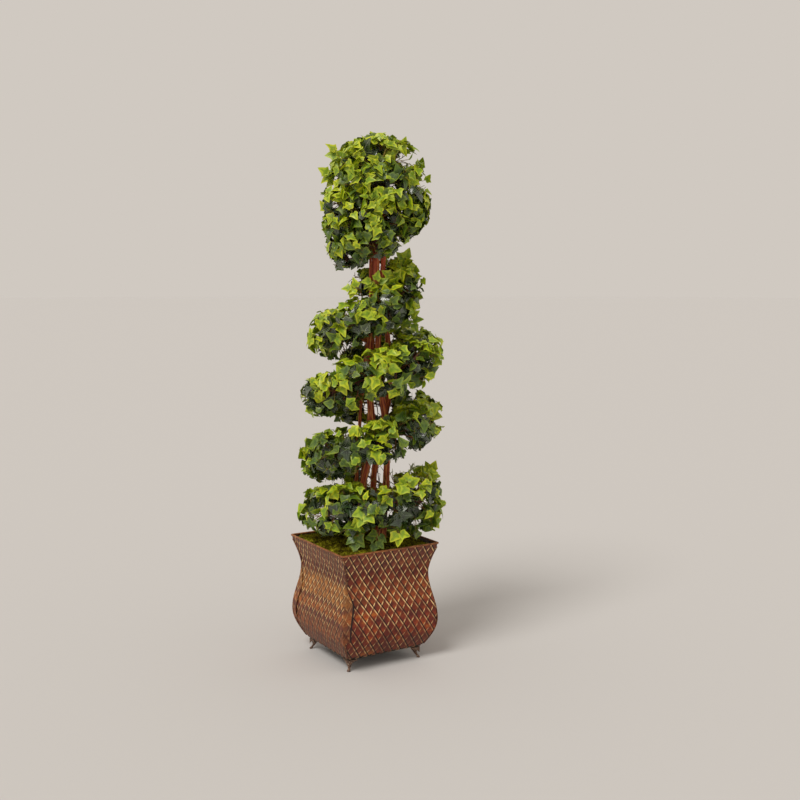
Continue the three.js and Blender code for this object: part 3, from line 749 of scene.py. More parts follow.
class Batch:
    """Many small bodies gathered into one mesh."""

    def __init__(self) -> None:
        """Starts with nothing in it."""
        self.points: list[np.ndarray] = []
        self.faces: list[tuple[int, ...]] = []
        self.values: dict[str, list[np.ndarray]] = {}
        self.count = 0

    def add(self, points: np.ndarray, faces: Sequence[Sequence[int]], **values: np.ndarray) -> None:
        """Adds a body.

        Args:
            points: Its points, in millimetres.
            faces: Its faces, as indices into its points.
            **values: Its attributes, one number or vector a point.
        """
        self.points.append(points)
        self.faces.extend(tuple(i + self.count for i in face) for face in faces)
        self.count += len(points)
        for name, value in values.items():
            self.values.setdefault(name, []).append(value)

    def make(self, name: str) -> Piece:
        """Makes the mesh object, in its place in the frame.

        Args:
            name: The object's name.

        Returns:
            The object.
        """
        mesh = bpy.data.meshes.new(name)
        points = np.concatenate(self.points) * MM + np.array(SHIFT)
        mesh.from_pydata(points.tolist(), [], self.faces)
        for key, parts in self.values.items():
            array = np.concatenate(parts).astype(np.float32)
            flat = array.ndim == 1
            attribute = mesh.attributes.new(key, "FLOAT" if flat else "FLOAT_VECTOR", "POINT")
            attribute.data.foreach_set("value" if flat else "vector", array.ravel())
        piece = bpy.data.objects.new(name, mesh)
        bpy.context.scene.collection.objects.link(piece)
        return piece


def ring_frames(path: np.ndarray) -> tuple[np.ndarray, np.ndarray]:
    """Two directions across a path at each of its points, that turn as little as they can.

    Args:
        path: The path's points, one row each.

    Returns:
        The two directions, one row for each point.
    """
    tangents = np.gradient(path, axis=0)
    tangents /= np.linalg.norm(tangents, axis=1, keepdims=True)
    across = np.cross(tangents[0], (0, 0, 1) if abs(tangents[0][2]) < 0.9 else (1, 0, 0))
    first, second = [], []
    for tangent in tangents:
        across = across - tangent * (across @ tangent)
        across /= np.linalg.norm(across)
        first.append(across)
        second.append(np.cross(tangent, across))
    return np.array(first), np.array(second)


def tube(path: np.ndarray, radii: np.ndarray, sides: int) -> tuple[np.ndarray, list[tuple[int, ...]]]:
    """A closed round body along a path.

    Args:
        path: The path's points.
        radii: Its radius at each point, or at each point and side.
        sides: Sides of its section.

    Returns:
        Its points and faces.
    """
    first, second = ring_frames(path)
    turns = np.arange(sides) * 2 * math.pi / sides
    wide = np.broadcast_to(radii if radii.ndim == 2 else radii[:, None], (len(path), sides))[:, :, None]
    rings = (path[:, None] + wide * (first[:, None] * np.cos(turns)[None, :, None]
                                     + second[:, None] * np.sin(turns)[None, :, None]))
    faces = [tuple(range(sides - 1, -1, -1)), tuple(range((len(path) - 1) * sides, len(path) * sides))]
    for level in range(len(path) - 1):
        low = level * sides
        for i in range(sides):
            j = (i + 1) % sides
            faces.append((low + i, low + j, low + sides + j, low + sides + i))
    return rings.reshape(-1, 3), faces


# Planter


@dataclass
class PlanterShape:
    """The planter's square section at every height."""

    height: float = 344
    base: float = 33
    bulge: float = 122
    neck: float = 257
    base_half: float = 121
    bulge_half: float = 155.2
    neck_half: float = 135
    rim_half: float = 160
    bead: float = 3
    wall: float = 2.4

    def __post_init__(self) -> None:
        """Measures the wall's length along its curve."""
        self.top = self.height - 2 * self.bead - GAP
        self.zs = np.linspace(self.base, self.top, 240)
        self.halves = np.array([self.half(z) for z in self.zs])
        steps = np.hypot(np.diff(self.zs), np.diff(self.halves))
        self.lengths = np.concatenate([[0], np.cumsum(steps)])

    def half(self, z: float) -> float:
        """Half side of the outer face at a height.

        Args:
            z: The height.

        Returns:
            The half side.
        """
        if z < self.bulge:
            share = (z - self.base) / (self.bulge - self.base)
            return self.base_half + (self.bulge_half - self.base_half) * math.sin(share * math.pi / 2)
        if z < self.neck:
            share = (z - self.bulge) / (self.neck - self.bulge)
            return lerp(self.bulge_half, self.neck_half, (1 - math.cos(math.pi * share)) / 2)
        share = (z - self.neck) / (self.height - self.neck)
        return self.neck_half + (self.rim_half - self.neck_half) * max(share, 0) ** 1.5

    def at_length(self, length: float) -> tuple[float, float, Vector]:
        """The height, half side and outward direction at a length up the wall.

        Args:
            length: The length along the wall's curve, from its lower edge.

        Returns:
            The height, the half side there, and the direction as a vector (across, 0, up).
        """
        z = float(np.interp(length, self.lengths, self.zs))
        slope = (self.half(min(z + 1, self.top)) - self.half(max(z - 1, self.base))) / 2
        return z, self.half(z), Vector((1, 0, -slope)).normalized()

    def length_at(self, z: float) -> float:
        """Length up the wall at a height."""
        return float(np.interp(z, self.zs, self.lengths))


@dataclass
class Planter:
    """The embossed planter with its rolled rim, lapped corners and cast feet."""

    shape: PlanterShape = field(default_factory=PlanterShape)
    columns: int = 12
    rows: int = 8
    cell: float = 26.7
    ridge: float = 2.6
    emboss: float = 1.1
    least_panel: float = 90
    snap: float = 5
    lip: float = 1
    lip_snap: float = 2.2
    lining_from: float = 1.9
    lining: tuple = (330, 318, 306, 294, 270, 240, 200, 160, 122, 90, 60, 36)
    lap_seam: float = 4
    lap_flap: float = 24
    lap_cut: float = 96
    lap_widest: float = 190
    lap_flap_top: float = 245
    lap_ends: Pair = (42, 330)
    lap_thickness: float = 0.9
    lap_lift: float = 1.3
    lap_cells: tuple[int, int] = (6, 96)
    # the other laps' painted shadow along their free edge is fainter
    lap_plain: float = 0.8  # all laps but the front left one have a fainter edge
    rim_corner: float = 3
    rim_cuts: int = 10
    rim_wobble: float = 0.5
    foot_reach: float = 115
    foot_sides: int = 10
    foot_stations: tuple[Triple, ...] = (
        (0, 0, 5.2), (2, 0, 6), (4.2, 0.6, 4.6), (8, 3.6, 3.6), (13, 6, 4.4), (19, 7.8, 6.8),
        (25, 8.6, 10.5), (30.5, 9, 13.5))
    foot_plate: float = 34
    foot_plate_cuts: int = 7
    foot_plate_middle: float = 31.1
    foot_plate_thickness: float = 3
    foot_corner: float = 119
    foot_apron: float = 16
    foot_apron_width: float = 3.5

    def wall_mesh(self) -> Piece:
        """One wall, flat: a lattice of sunk diamonds, cut to the wall's outline.

        Returns:
            The wall, with x across, y up its curve and z outward, in metres.
        """
        shape = self.shape
        length = shape.lengths[-1]
        deselect()
        bpy.ops.mesh.primitive_grid_add(x_subdivisions=self.columns, y_subdivisions=self.rows, size=1)
        wall = bpy.context.object
        wall.data.transform(Matrix.Diagonal((self.columns * self.cell * MM, length * MM, 1, 1)))
        edit_all()
        bpy.ops.mesh.poke()
        pick(wall, "EDGE", self.is_square)
        bpy.ops.mesh.dissolve_edges(use_verts=False)
        sheet = bmesh.from_edit_mesh(wall.data)
        edge_points = set()
        for point in sheet.verts:
            half = shape.at_length(point.co.y / MM + length / 2)[1]
            if abs(point.co.x) / MM > half - self.snap:
                point.co.x = math.copysign(half * MM, point.co.x)
                edge_points.add(point)
        outside = [face for face in sheet.faces if all(point in edge_points for point in face.verts)]
        bmesh.ops.delete(sheet, geom=outside, context="FACES")
        bmesh.update_edit_mesh(wall.data)
        pick(wall, "FACE", lambda face: face.calc_area() > self.least_panel * MM * MM)
        bpy.ops.mesh.inset(thickness=self.ridge * MM, depth=-self.emboss * MM, use_individual=True)
        bpy.ops.mesh.subdivide(number_cuts=1)
        bpy.ops.object.mode_set(mode="OBJECT")
        return wall

    def is_square(self, edge: bmesh.types.BMEdge) -> bool:
        """Whether an inner edge runs level or upright, which leaves only the diamonds' own."""
        run = edge.verts[0].co - edge.verts[1].co
        return len(edge.link_faces) == 2 and min(abs(run.x), abs(run.y)) < 1e-6

    def bend(self, sheet: Piece) -> None:
        """Sets a flat sheet on the planter's front face.

        Args:
            sheet: The sheet, its length along Y.
        """
        length = self.shape.lengths[-1]
        for point in sheet.data.vertices:
            z, half, outward = self.shape.at_length(point.co.y / MM + length / 2)
            proud = point.co.z / MM
            point.co = Vector((point.co.x / MM, -half - outward.x * proud, z + outward.z * proud)) * MM

    def four(self, first: Piece) -> None:
        """Joins to a piece three copies of it, a quarter turn apart.

        Args:
            first: The piece.
        """
        pieces = [first]
        for quarter in (1, 2, 3):
            copy = bpy.data.objects.new(first.name, first.data.copy())
            copy.data.transform(Matrix.Rotation(quarter * math.pi / 2, 4, "Z"))
            bpy.context.scene.collection.objects.link(copy)
            pieces.append(copy)
        choose(*pieces)
        bpy.ops.object.join()

    def map_lattice(self, piece: Piece) -> None:
        """Gives a piece the lattice's own map: cells across and up each wall.

        Args:
            piece: The piece.
        """
        mesh = piece.data
        while mesh.uv_layers:
            mesh.uv_layers.remove(mesh.uv_layers[0])
        layer = mesh.uv_layers.new(name="lattice")
        length = self.shape.lengths[-1]
        for face in mesh.polygons:
            turns = round(math.atan2(face.center.x, -face.center.y) / (math.pi / 2))
            spin = Matrix.Rotation(-turns * math.pi / 2, 3, "Z")
            for loop in face.loop_indices:
                place = spin @ mesh.vertices[mesh.loops[loop].vertex_index].co
                up = self.shape.length_at(place.z / MM)
                layer.data[loop].uv = (place.x / MM / self.cell, (up - length / 2) / length * self.rows)

    def body(self, embossed: Material, inside: Material) -> None:
        """Makes the four walls, their lining and the floor as one closed shell.

        Args:
            embossed: The outside's material.
            inside: The inside's material.
        """
        shape = self.shape
        body = self.wall_mesh()
        self.bend(body)
        self.four(body)
        edit_all()
        bpy.ops.mesh.remove_doubles(threshold=0.05 * MM)
        self.select_rim(body, shape.base)
        bpy.ops.mesh.edge_face_add()
        self.select_rim(body, shape.top)
        for level, z in enumerate((shape.top, *self.lining)):
            if level == 0:
                bpy.ops.mesh.extrude_edges_move()
            else:
                bpy.ops.mesh.extrude_region_move()
            move_picked(body, lambda place: self.lined(place, z))
        bpy.ops.mesh.edge_face_add()
        close_up()
        round_off(body)
        for point in body.data.vertices:
            if point.co.z / MM > shape.top - self.lip_snap:
                point.co.z = (shape.top + self.lip) * MM
        self.map_lattice(body)
        kept = []
        for face in body.data.polygons:
            z = face.center.z / MM
            across = max(abs(face.center.x), abs(face.center.y)) / MM
            kept.append(int(z > shape.base + 1 and across < shape.half(z) - self.lining_from))
        smooth(body, 50)
        to_frame(body)
        stand(body, "planter_body", "embossed_metal", ["planter_shell"], embossed, inside)
        body.data.polygons.foreach_set("material_index", kept)

    def lined(self, place: Vector, z: float) -> Vector:
        """A point of the outline moved to the inner face of the wall at a height."""
        draw = (self.shape.half(z) - self.shape.wall) * MM / max(abs(place.x), abs(place.y))
        return Vector((place.x * draw, place.y * draw, z * MM))

    def select_rim(self, body: Piece, z: float) -> None:
        """Selects the open edges within a millimetre of a height, in edit mode."""
        pick(body, "EDGE", lambda edge: edge.is_boundary and all(
            abs(point.co.z / MM - z) < 1 for point in edge.verts))

    def rim(self, material: Material) -> None:
        """Makes the rolled bead round the walls' upper edge.

        Args:
            material: What it is made of.
        """
        shape = self.shape
        half = shape.half(shape.top) - shape.wall / 2
        deselect()
        middle = (0, 0, (shape.height - shape.bead) * MM)
        bpy.ops.mesh.primitive_plane_add(size=2 * half * MM, location=middle)
        rim = bpy.context.object
        bpy.ops.object.transform_apply(location=True)
        edit_all()
        bpy.ops.mesh.bevel(offset=self.rim_corner * MM, segments=3, affect="VERTICES")
        bpy.ops.mesh.delete(type="ONLY_FACE")
        bpy.ops.mesh.select_all(action="SELECT")
        bpy.ops.mesh.subdivide(number_cuts=self.rim_cuts)
        bpy.ops.object.mode_set(mode="OBJECT")
        for point in rim.data.vertices:
            wobble = noise.noise_vector(point.co * 30) * self.rim_wobble * MM
            point.co += Vector((wobble.x, wobble.y, wobble.z * 0.6))
        bpy.ops.object.convert(target="CURVE")
        rim.data.bevel_depth = (shape.bead - 0.2) * MM
        rim.data.bevel_resolution = 3
        bpy.ops.object.convert(target="MESH")
        rim = bpy.context.object
        smooth(rim, 70)
        to_frame(rim)
        stand(rim, "rolled_rim", "rim_metal", ["planter_rim"], material)

    def lap_width(self, z: float) -> float:
        """Width of a corner lap at a height: a narrow lapped strip, and the flap over part of it.

        Args:
            z: The height.

        Returns:
            The width.
        """
        rise = smoothstep(z, self.lap_cut, self.lap_cut + 3)
        belly = lerp(0.75, 1, smoothstep(z, self.lap_cut, self.lap_widest))
        fall = 1 - smoothstep(z, self.lap_widest, self.lap_flap_top)
        return self.lap_seam + self.lap_flap * rise * belly * fall

    def laps(self, material: Material) -> None:
        """Makes the edge of each wall's sheet, lapped round the corner on to the next wall.

        Args:
            material: What it is made of.
        """
        shape = self.shape
        length = shape.lengths[-1]
        columns, rows = self.lap_cells
        deselect()
        bpy.ops.mesh.primitive_grid_add(x_subdivisions=columns, y_subdivisions=rows, size=1)
        lap = bpy.context.object
        low, high = (shape.length_at(z) for z in self.lap_ends)
        fringe = lap.data.attributes.new("fringe", "FLOAT", "POINT")
        for point in lap.data.vertices:
            up = lerp(low, high, point.co.y + 0.5)
            z, half, _ = shape.at_length(up)
            share = point.co.x + 0.5
            width = self.lap_width(z)
            raised = self.lap_lift * smoothstep(width, self.lap_seam, self.lap_flap) * share ** 3
            lift = GAP + self.lap_thickness + raised
            # the share across the lap, which places the painted shadow at its free edge
            fringe.data[point.index].value = share
            point.co = Vector((-half + lerp(0.4, 3 + width, share), up - length / 2, lift)) * MM
        self.bend(lap)
        thick = lap.modifiers.new("sheet", "SOLIDIFY")
        thick.thickness = self.lap_thickness * MM
        thick.offset = -1
        choose(lap)
        bpy.ops.object.modifier_apply(modifier=thick.name)
        self.four(lap)
        shares = np.zeros(len(lap.data.vertices), np.float32)
        lap.data.attributes["fringe"].data.foreach_get("value", shares)
        shares[len(shares) // 4:] *= self.lap_plain
        lap.data.attributes["fringe"].data.foreach_set("value", shares)
        self.map_lattice(lap)
        smooth(lap, 40)
        to_frame(lap)
        nodes = [f"planter_corner_lap_{i + 1}" for i in range(4)]
        stand(lap, "corner_laps", "embossed_metal", nodes, material)

    def feet(self, material: Material) -> None:
        """Makes the cast feet: a corner plate with a hanging apron, a curved leg and a small pad.

        Args:
            material: What it is made of.
        """
        leg = self.foot_leg()
        choose(leg, self.foot_corner_plate())
        bpy.ops.object.join()
        leg = bpy.context.object
        round_off(leg)
        self.four(leg)
        smooth(leg, 60)
        to_frame(leg)
        stand(leg, "cast_feet", "foot_metal", [f"planter_foot_{i + 1}" for i in range(4)], material)

    def foot_leg(self) -> Piece:
        """One foot's pad and curved leg, extruded from station to station.

        Returns:
            The leg, under the planter's back right corner.
        """
        reach = self.foot_reach
        deselect()
        bpy.ops.mesh.primitive_circle_add(
            vertices=self.foot_sides, radius=self.foot_stations[0][2] * MM, fill_type="NGON",
            location=(reach * MM, reach * MM, 0))
        leg = bpy.context.object
        bpy.ops.object.transform_apply(location=True)
        edit_all()
        for (low, near, _), (high, inset, radius) in zip(self.foot_stations, self.foot_stations[1:]):
            shift = (near - inset) * MM
            move = (shift, shift, (high - low) * MM)
            bpy.ops.mesh.extrude_region_move(TRANSFORM_OT_translate={"value": move})
            middle = Vector(((reach - inset) * MM, (reach - inset) * MM, high * MM))
            move_picked(leg, lambda place: middle + (place - middle).normalized() * radius * MM)
        close_up()
        return leg

    def foot_corner_plate(self) -> Piece:
        """One foot's corner plate, half a square cut across, with its hanging apron.

        Returns:
            The plate, under the planter's back right corner.
        """
        size, corner = self.foot_plate, self.foot_corner
        middle = corner - size / 2
        deselect()
        bpy.ops.mesh.primitive_cube_add(size=1)
        plate = bpy.context.object
        plate.data.transform(Matrix.Diagonal((size * MM, size * MM, self.foot_plate_thickness * MM, 1)))
        plate.data.transform(Matrix.Translation(Vector((middle, middle, self.foot_plate_middle)) * MM))
        edit_all()
        bpy.ops.mesh.subdivide(number_cuts=self.foot_plate_cuts)
        bpy.ops.mesh.select_all(action="SELECT")
        bpy.ops.mesh.bisect(plane_co=(middle * MM, middle * MM, 0), plane_no=(1, 1, 0), use_fill=True,
                            clear_inner=True)
        bpy.ops.object.mode_set(mode="OBJECT")
        for point in plate.data.vertices:
            x, y, z = point.co / MM
            along = corner - min(x, y)
            if max(x, y) > corner - self.foot_apron_width and z < self.foot_plate_middle - 0.1:
                point.co.z -= self.foot_apron * max(1 - along / size, 0) ** 2 * MM
        return plate


# Moss


@dataclass
class Moss:
    """The dyed moss that covers the filling, a lumpy mound with tufts on it."""

    shape: PlanterShape
    edge: float = 337
    dome: float = 9
    corner: float = 5
    slope: float = 3
    lump: float = 3
    widest: float = 328
    bottom: float = 300.3
    clearance: float = 4
    cells: int = 130
    clump_sizes: Pair = (20, 7)
    clump_heights: Pair = (4.2, 2.4)
    sink: float = 1.5
    tufts: int = 2500
    frond_lengths: Pair = (5, 10)
    frond_leans: Pair = (0.2, 1.3)
    frond_radii: Triple = (0.8, 1.0, 0.2)

    def height(self, x: float, y: float) -> float:
        """Height of the mound over a point of the planter's mouth.

        Args:
            x: Across from the planter's middle.
            y: Away from it.

        Returns:
            The height.
        """
        across, along = abs(x) / self.shape.rim_half, abs(y) / self.shape.rim_half
        dome = self.dome * max(0, 1 - across ** 2) * max(0, 1 - along ** 2)
        lump = self.lump * math.sin(x / 17) * math.cos(y / 14 + x / 40)
        slope = self.slope * (x * math.cos(START) + y * math.sin(START)) / self.shape.rim_half
        return self.edge + dome + lump - slope - self.corner * (across * along) ** 2

    def clump(self, x: float, y: float) -> float:
        """The clumps' own height over the mound."""
        broad = noise.noise(Vector((x, y, 0)) / self.clump_sizes[0])
        small = noise.noise(Vector((x, y, 40)) / self.clump_sizes[1])
        return self.clump_heights[0] * broad + self.clump_heights[1] * small - self.sink

    def half(self, z: float) -> float:
        """Half side of the mound at a height, clear of the walls and the rim's bead."""
        return self.shape.half(min(z, self.widest)) - self.clearance

    def mound(self, material: Material) -> None:
        """Makes the mound, closed underneath.

        Args:
            material: What it is made of.
        """
        deselect()
        bpy.ops.mesh.primitive_grid_add(x_subdivisions=self.cells, y_subdivisions=self.cells, size=2)
        mound = bpy.context.object
        for point in mound.data.vertices:
            x, y = point.co.x * self.shape.rim_half, point.co.y * self.shape.rim_half
            z = self.height(x, y) + self.clump(x, y)
            point.co = Vector((point.co.x * self.half(z), point.co.y * self.half(z), z)) * MM
        edit_all()
        bpy.ops.mesh.region_to_loop()
        bpy.ops.mesh.extrude_edges_move()
        move_picked(mound, self.lowered)
        bpy.ops.mesh.edge_face_add()
        close_up()
        smooth(mound, 80)
        to_frame(mound)
        stand(mound, "moss_mound", "moss", ["moss"], material)

    def lowered(self, place: Vector) -> Vector:
        """A point of the mound's edge moved down to its underside."""
        draw = self.half(self.bottom) / self.half(place.z / MM)
        return Vector((place.x * draw, place.y * draw, self.bottom * MM))

    def fronds(self, material: Material) -> None:
        """Makes the tufts: small clusters of spikes on the mound.

        Args:
            material: What it is made of.
        """
        rng = random.Random(5)
        batch = Batch()
        for _ in range(self.tufts):
            u, v = rng.uniform(-0.97, 0.97), rng.uniform(-0.97, 0.97)
            x, y = u * self.shape.rim_half, v * self.shape.rim_half
            z = self.height(x, y) + self.clump(x, y)
            half = self.half(z)
            foot = np.array((u * half, v * half, z - self.sink))
            for _ in range(rng.randint(4, 6)):
                lean = rng.uniform(*self.frond_leans)
                heading = rng.uniform(0, 2 * math.pi)
                way = np.array((math.cos(heading) * lean, math.sin(heading) * lean, 1))
                way /= np.linalg.norm(way)
                length = rng.uniform(*self.frond_lengths)
                tip = foot + way * length + np.array((0, 0, -lean))
                path = np.array([foot, foot + way * length * 0.55, tip])
                path[:, :2] = np.clip(path[:, :2], -half, half)
                batch.add(*tube(path, np.array(self.frond_radii), 3))
        tufts = batch.make("moss_tufts")
        stand(tufts, "moss_tufts", "moss", ["moss"], material)


# Trunk


@dataclass(frozen=True)
class Stem:
    """One stem: its angle round the bundle, how it sways, and its size."""

    angle: float
    sway: float
    wave: float
    crest: float
    radius: float
    spread: float
    top: float


@dataclass
class Trunk:
    """Five woven stems with fluted bark."""

    stems: tuple[Stem, ...] = (
        Stem(-128, 23, 480, 650, 12.5, 1, 1328),
        Stem(-55, 38, 800, 500, 11.5, 1, 1290),
        Stem(48, 40, 840, 500, 10.5, 1, 1255),
        Stem(131, 10, 620, 420, 9.5, 1, 1225),
        Stem(183, 8, 540, 700, 6.5, 1.2, 1195),
    )
    bottom: float = 130
    free_from: float = 321
    taper: float = 0.56
    flare: float = 1.25
    flare_over: Pair = (320, 450)
    tip_draw: Pair = (0.8, 0.45)
    ring_radii: Pair = (40, 19)
    ring_narrows: Pair = (680, 1080)
    leans: Pair = (20, 45)
    lean_grows: Pair = (300, 900)
    spare: float = 22
    sides: int = 30
    pitch: float = 7

    def ring(self, z: float) -> float:
        """Radius of the ring that the stems stand on."""
        return lerp(*self.ring_radii, smoothstep(z, *self.ring_narrows))

    def lean(self, z: float) -> float:
        """How far the bundle leans towards the spiral's start."""
        return lerp(*self.leans, smoothstep(z, *self.lean_grows))

    def point(self, stem: Stem, z: float) -> Vector:
        """Centre of a stem at a height.

        Args:
            stem: The stem.
            z: The height.

        Returns:
            The centre.
        """
        free = max(z, self.free_from)
        sway = stem.sway * math.cos(2 * math.pi * (free - stem.crest) / stem.wave)
        heading = START + math.radians(stem.angle + sway)
        return polar(self.ring(z) * stem.spread, heading) + polar(self.lean(z), START, z)

    def radius(self, stem: Stem, z: float) -> float:
        """Radius of a stem at a height."""
        share = lerp(1, self.taper, (z - self.bottom) / (stem.top - self.bottom))
        return stem.radius * share * lerp(self.flare, 1, smoothstep(z, *self.flare_over))

    def room(self, z: float) -> float:
        """Radius round the crown's line that the stems keep for themselves."""
        return self.ring(z) + self.spare

    def nearest(self, z: float, heading: float) -> Stem:
        """The stem that lies nearest to a heading from the bundle's middle.

        Args:
            z: The height.
            heading: The heading, in radians.

        Returns:
            The stem.
        """
        def turned(stem: Stem) -> float:
            """How well a stem's own heading agrees."""
            out = self.point(stem, z) - polar(self.lean(z), START, z)
            return math.cos(math.atan2(out.y, out.x) - heading)

        return max((stem for stem in self.stems if stem.top > z + 15), key=turned)

    def build(self, material: Material) -> None:
        """Makes the stems, each a limb of its own in one piece.

        Args:
            material: What it is made of.
        """
        batch = Batch()
        for index, stem in enumerate(self.stems):
            zs = np.arange(self.bottom, stem.top, self.pitch)
            path = np.array([self.point(stem, z) for z in zs])
            radii = np.array([self.radius(stem, z) for z in zs])
            radii[-2:] *= self.tip_draw
            bark_limb(batch, path, radii, self.sides, 5 + index % 2, index * 3.1)
        stems = batch.make("bark_stems")
        smooth(stems, 60)
        nodes = [f"trunk_stem_{i + 1}" for i in range(len(self.stems))]
        stand(stems, "bark_stems", "bark", nodes, material)


@dataclass(frozen=True)
class BarkRelief:
    """How deep the bark's flutes and knots are, and the lengths over which they change."""

    mean: float = 0.96
    ridges: float = 0.12
    knots: float = 0.14
    drift_length: float = 90
    fine_length: float = 60
    knot_length: float = 24
    grain_length: float = 260


RELIEF = BarkRelief()


def bark_limb(batch: Batch, path: np.ndarray, radii: np.ndarray, sides: int, flutes: int,
              seed: float) -> None:
    """Adds a limb with lengthwise flutes and small knots.

    Args:
        batch: What it is added to.
        path: Its centres.
        radii: Its radius at each centre.
        sides: Sides of its section.
        flutes: Flutes round it.
        seed: What sets its flutes apart from another limb's.
    """
    along = np.concatenate([[0], np.cumsum(np.linalg.norm(np.diff(path, axis=0), axis=1))])
    turns = np.arange(sides) * 2 * math.pi / sides
    length, turn = np.meshgrid(along, turns, indexing="ij")
    drift = 0.9 * np.sin(length / RELIEF.drift_length + seed)
    broad = np.sin(flutes * turn + drift * 2 + seed)
    fine = np.sin((flutes + 3) * turn - length / RELIEF.fine_length + seed * 2)
    ridge = 0.6 * broad + 0.4 * fine
    knots = np.array([[noise.noise(Vector((math.cos(t) * 1.3 + seed, math.sin(t) * 1.3, s)))
                       for t in turns] for s in along / RELIEF.knot_length])
    profile = RELIEF.mean + RELIEF.ridges * ridge + RELIEF.knots * knots
    points, faces = tube(path, radii[:, None] * profile, sides)
    grain = [np.cos(turn) * 0.25 + seed, np.sin(turn) * 0.25, length / RELIEF.grain_length]
    grain = np.stack(grain, axis=2).reshape(-1, 3)
    batch.add(points, faces, grain=grain, flute=(ridge + knots).ravel())


# Crown


@dataclass(frozen=True)
class Swell:
    """Where the clipped band rises by `lift` and is thicker by `grow`, near an angle of descent."""

    at: float
    span: float
    lift: float
    grow: float

    def share(self, angle: float) -> float:
        """How much of the swell an angle has."""
        return math.exp(-(((angle - self.at) / self.span) ** 2))


@dataclass
class Spiral:
    """The band's centre line and outline at each angle of descent, and the head's underside."""

    trunk: Trunk
    moss: Moss
    quarters: int = 16
    first_angle: float = -135
    start: float = 1043
    pitch: float = 184
    tilt: float = 16
    inner: float = 125
    outer: float = 210
    widening: float = 360
    half_height: float = 68
    half_depth: float = 66
    squareness: float = 2.2
    overlap: float = 12
    core: float = 82.5
    stem_gap: float = 28
    axis_offsets: Pair = (25, 40)
    axis_moves: Pair = (950, 1150)
    last_lift: float = 40
    last_lift_over: Pair = (1080, 1260)
    head_level: float = 1112
    head_slope: float = 21
    head_slope_from: float = 110
    head_gap: float = 4
    moss_gap: float = 4
    rim_gap: float = 2
    swells: tuple[Swell, ...] = (
        Swell(-110, 50, -4, -14), Swell(15, 60, 0, 20), Swell(150, 55, -9, 5), Swell(455, 45, 9, 10),
        Swell(545, 35, 7, -8), Swell(875, 50, 14, 13), Swell(1030, 58, -70, -14), Swell(1095, 45, -18, 48),
        Swell(1260, 60, 0, 12),
    )

    def axis(self, z: float) -> Vector:
        """The line that the spiral and the head are set about."""
        return polar(lerp(*self.axis_offsets, smoothstep(z, *self.axis_moves)), START, z)

    def middle_height(self, angle: float) -> float:
        """Height of the band's middle."""
        steady = self.start - self.pitch * angle / 360 + self.tilt * math.cos(math.radians(angle))
        lift = sum(swell.lift * swell.share(angle) for swell in self.swells)
        return steady + self.last_lift * smoothstep(angle, *self.last_lift_over) + lift

    def reach(self, angle: float) -> float:
        """Outer radius of the band."""
        return lerp(self.inner, self.outer, smoothstep(angle, self.first_angle, self.widening))

    def half(self, angle: float) -> float:
        """Half the band's height."""
        return self.half_height + sum(swell.grow * swell.share(angle) for swell in self.swells)

    def point(self, angle: float) -> Vector:
        """Middle of the band's section."""
        z = self.middle_height(angle)
        middle = max(self.reach(angle) - self.core, self.trunk.room(z) + self.stem_gap)
        return polar(middle, START - math.radians(angle)) + self.axis(z)

    def sector(self, point: Vector, middle: float) -> Triple:
        """A point's place in a quarter turn.

        Args:
            point: The point.
            middle: The quarter's middle angle, in degrees of descent.

        Returns:
            Its distance from the crown's line, its angle of descent, and its distance
            inside the quarter.
        """
        out = point - self.axis(point.z)
        radius = math.hypot(out.x, out.y)
        away = math.degrees(START - math.atan2(out.y, out.x)) - middle
        away -= 360 * round(away / 360)
        return radius, middle + away, radius * math.sin(math.radians(45 - abs(away)))

    def head_underside(self, point: Vector) -> float:
        """Height of the head's underside over a point."""
        aside = (point - self.axis(point.z)).dot(polar(1, START))
        return self.head_level + self.head_slope * (max(aside + self.head_slope_from, 0) / 100) ** 2

    def floor(self, point: Vector) -> float:
        """Height over the moss or the planter's rim that leaves keep above."""
        low = self.moss.height(point.x, point.y) + self.moss_gap
        shape = self.moss.shape
        if max(abs(point.x), abs(point.y)) > shape.neck_half:
            return max(low, shape.height + self.rim_gap)
        return low

    def inside(self, point: Vector, start: float) -> bool:
        """Whether a point is in the room of the quarter from `start` degrees on.

        Args:
            point: The point.
            start: The quarter's first angle of descent.

        Returns:
            Whether it is.
        """
        radius, angle, edge = self.sector(point, start + 45)
        deep = (radius - (self.reach(angle) - self.half_depth)) / self.half_depth
        high = (point.z - self.middle_height(angle)) / self.half(angle)
        outward = max(deep, 0) ** self.squareness + abs(high) ** self.squareness
        free = (radius > self.trunk.room(point.z)
                and self.floor(point) < point.z < self.head_underside(point) - self.head_gap)
        return edge > -self.overlap and outward < 1 and free


@dataclass(frozen=True)
class SkyGap:
    """A gap that shows what is behind: its place right of the planter's middle, height and size."""

    across: float
    z: float
    radius: float


@dataclass(frozen=True)
class Shoot:
    """A young shoot that stands out of the crown.

    Its three points are given across from the planter's middle as the photograph sees it,
    away from the camera, and up.
    """

    start: Triple
    bend: Triple
    tip: Triple
    size: float
    leaves: int
    kind: LeafKind = LeafKind.YOUNG


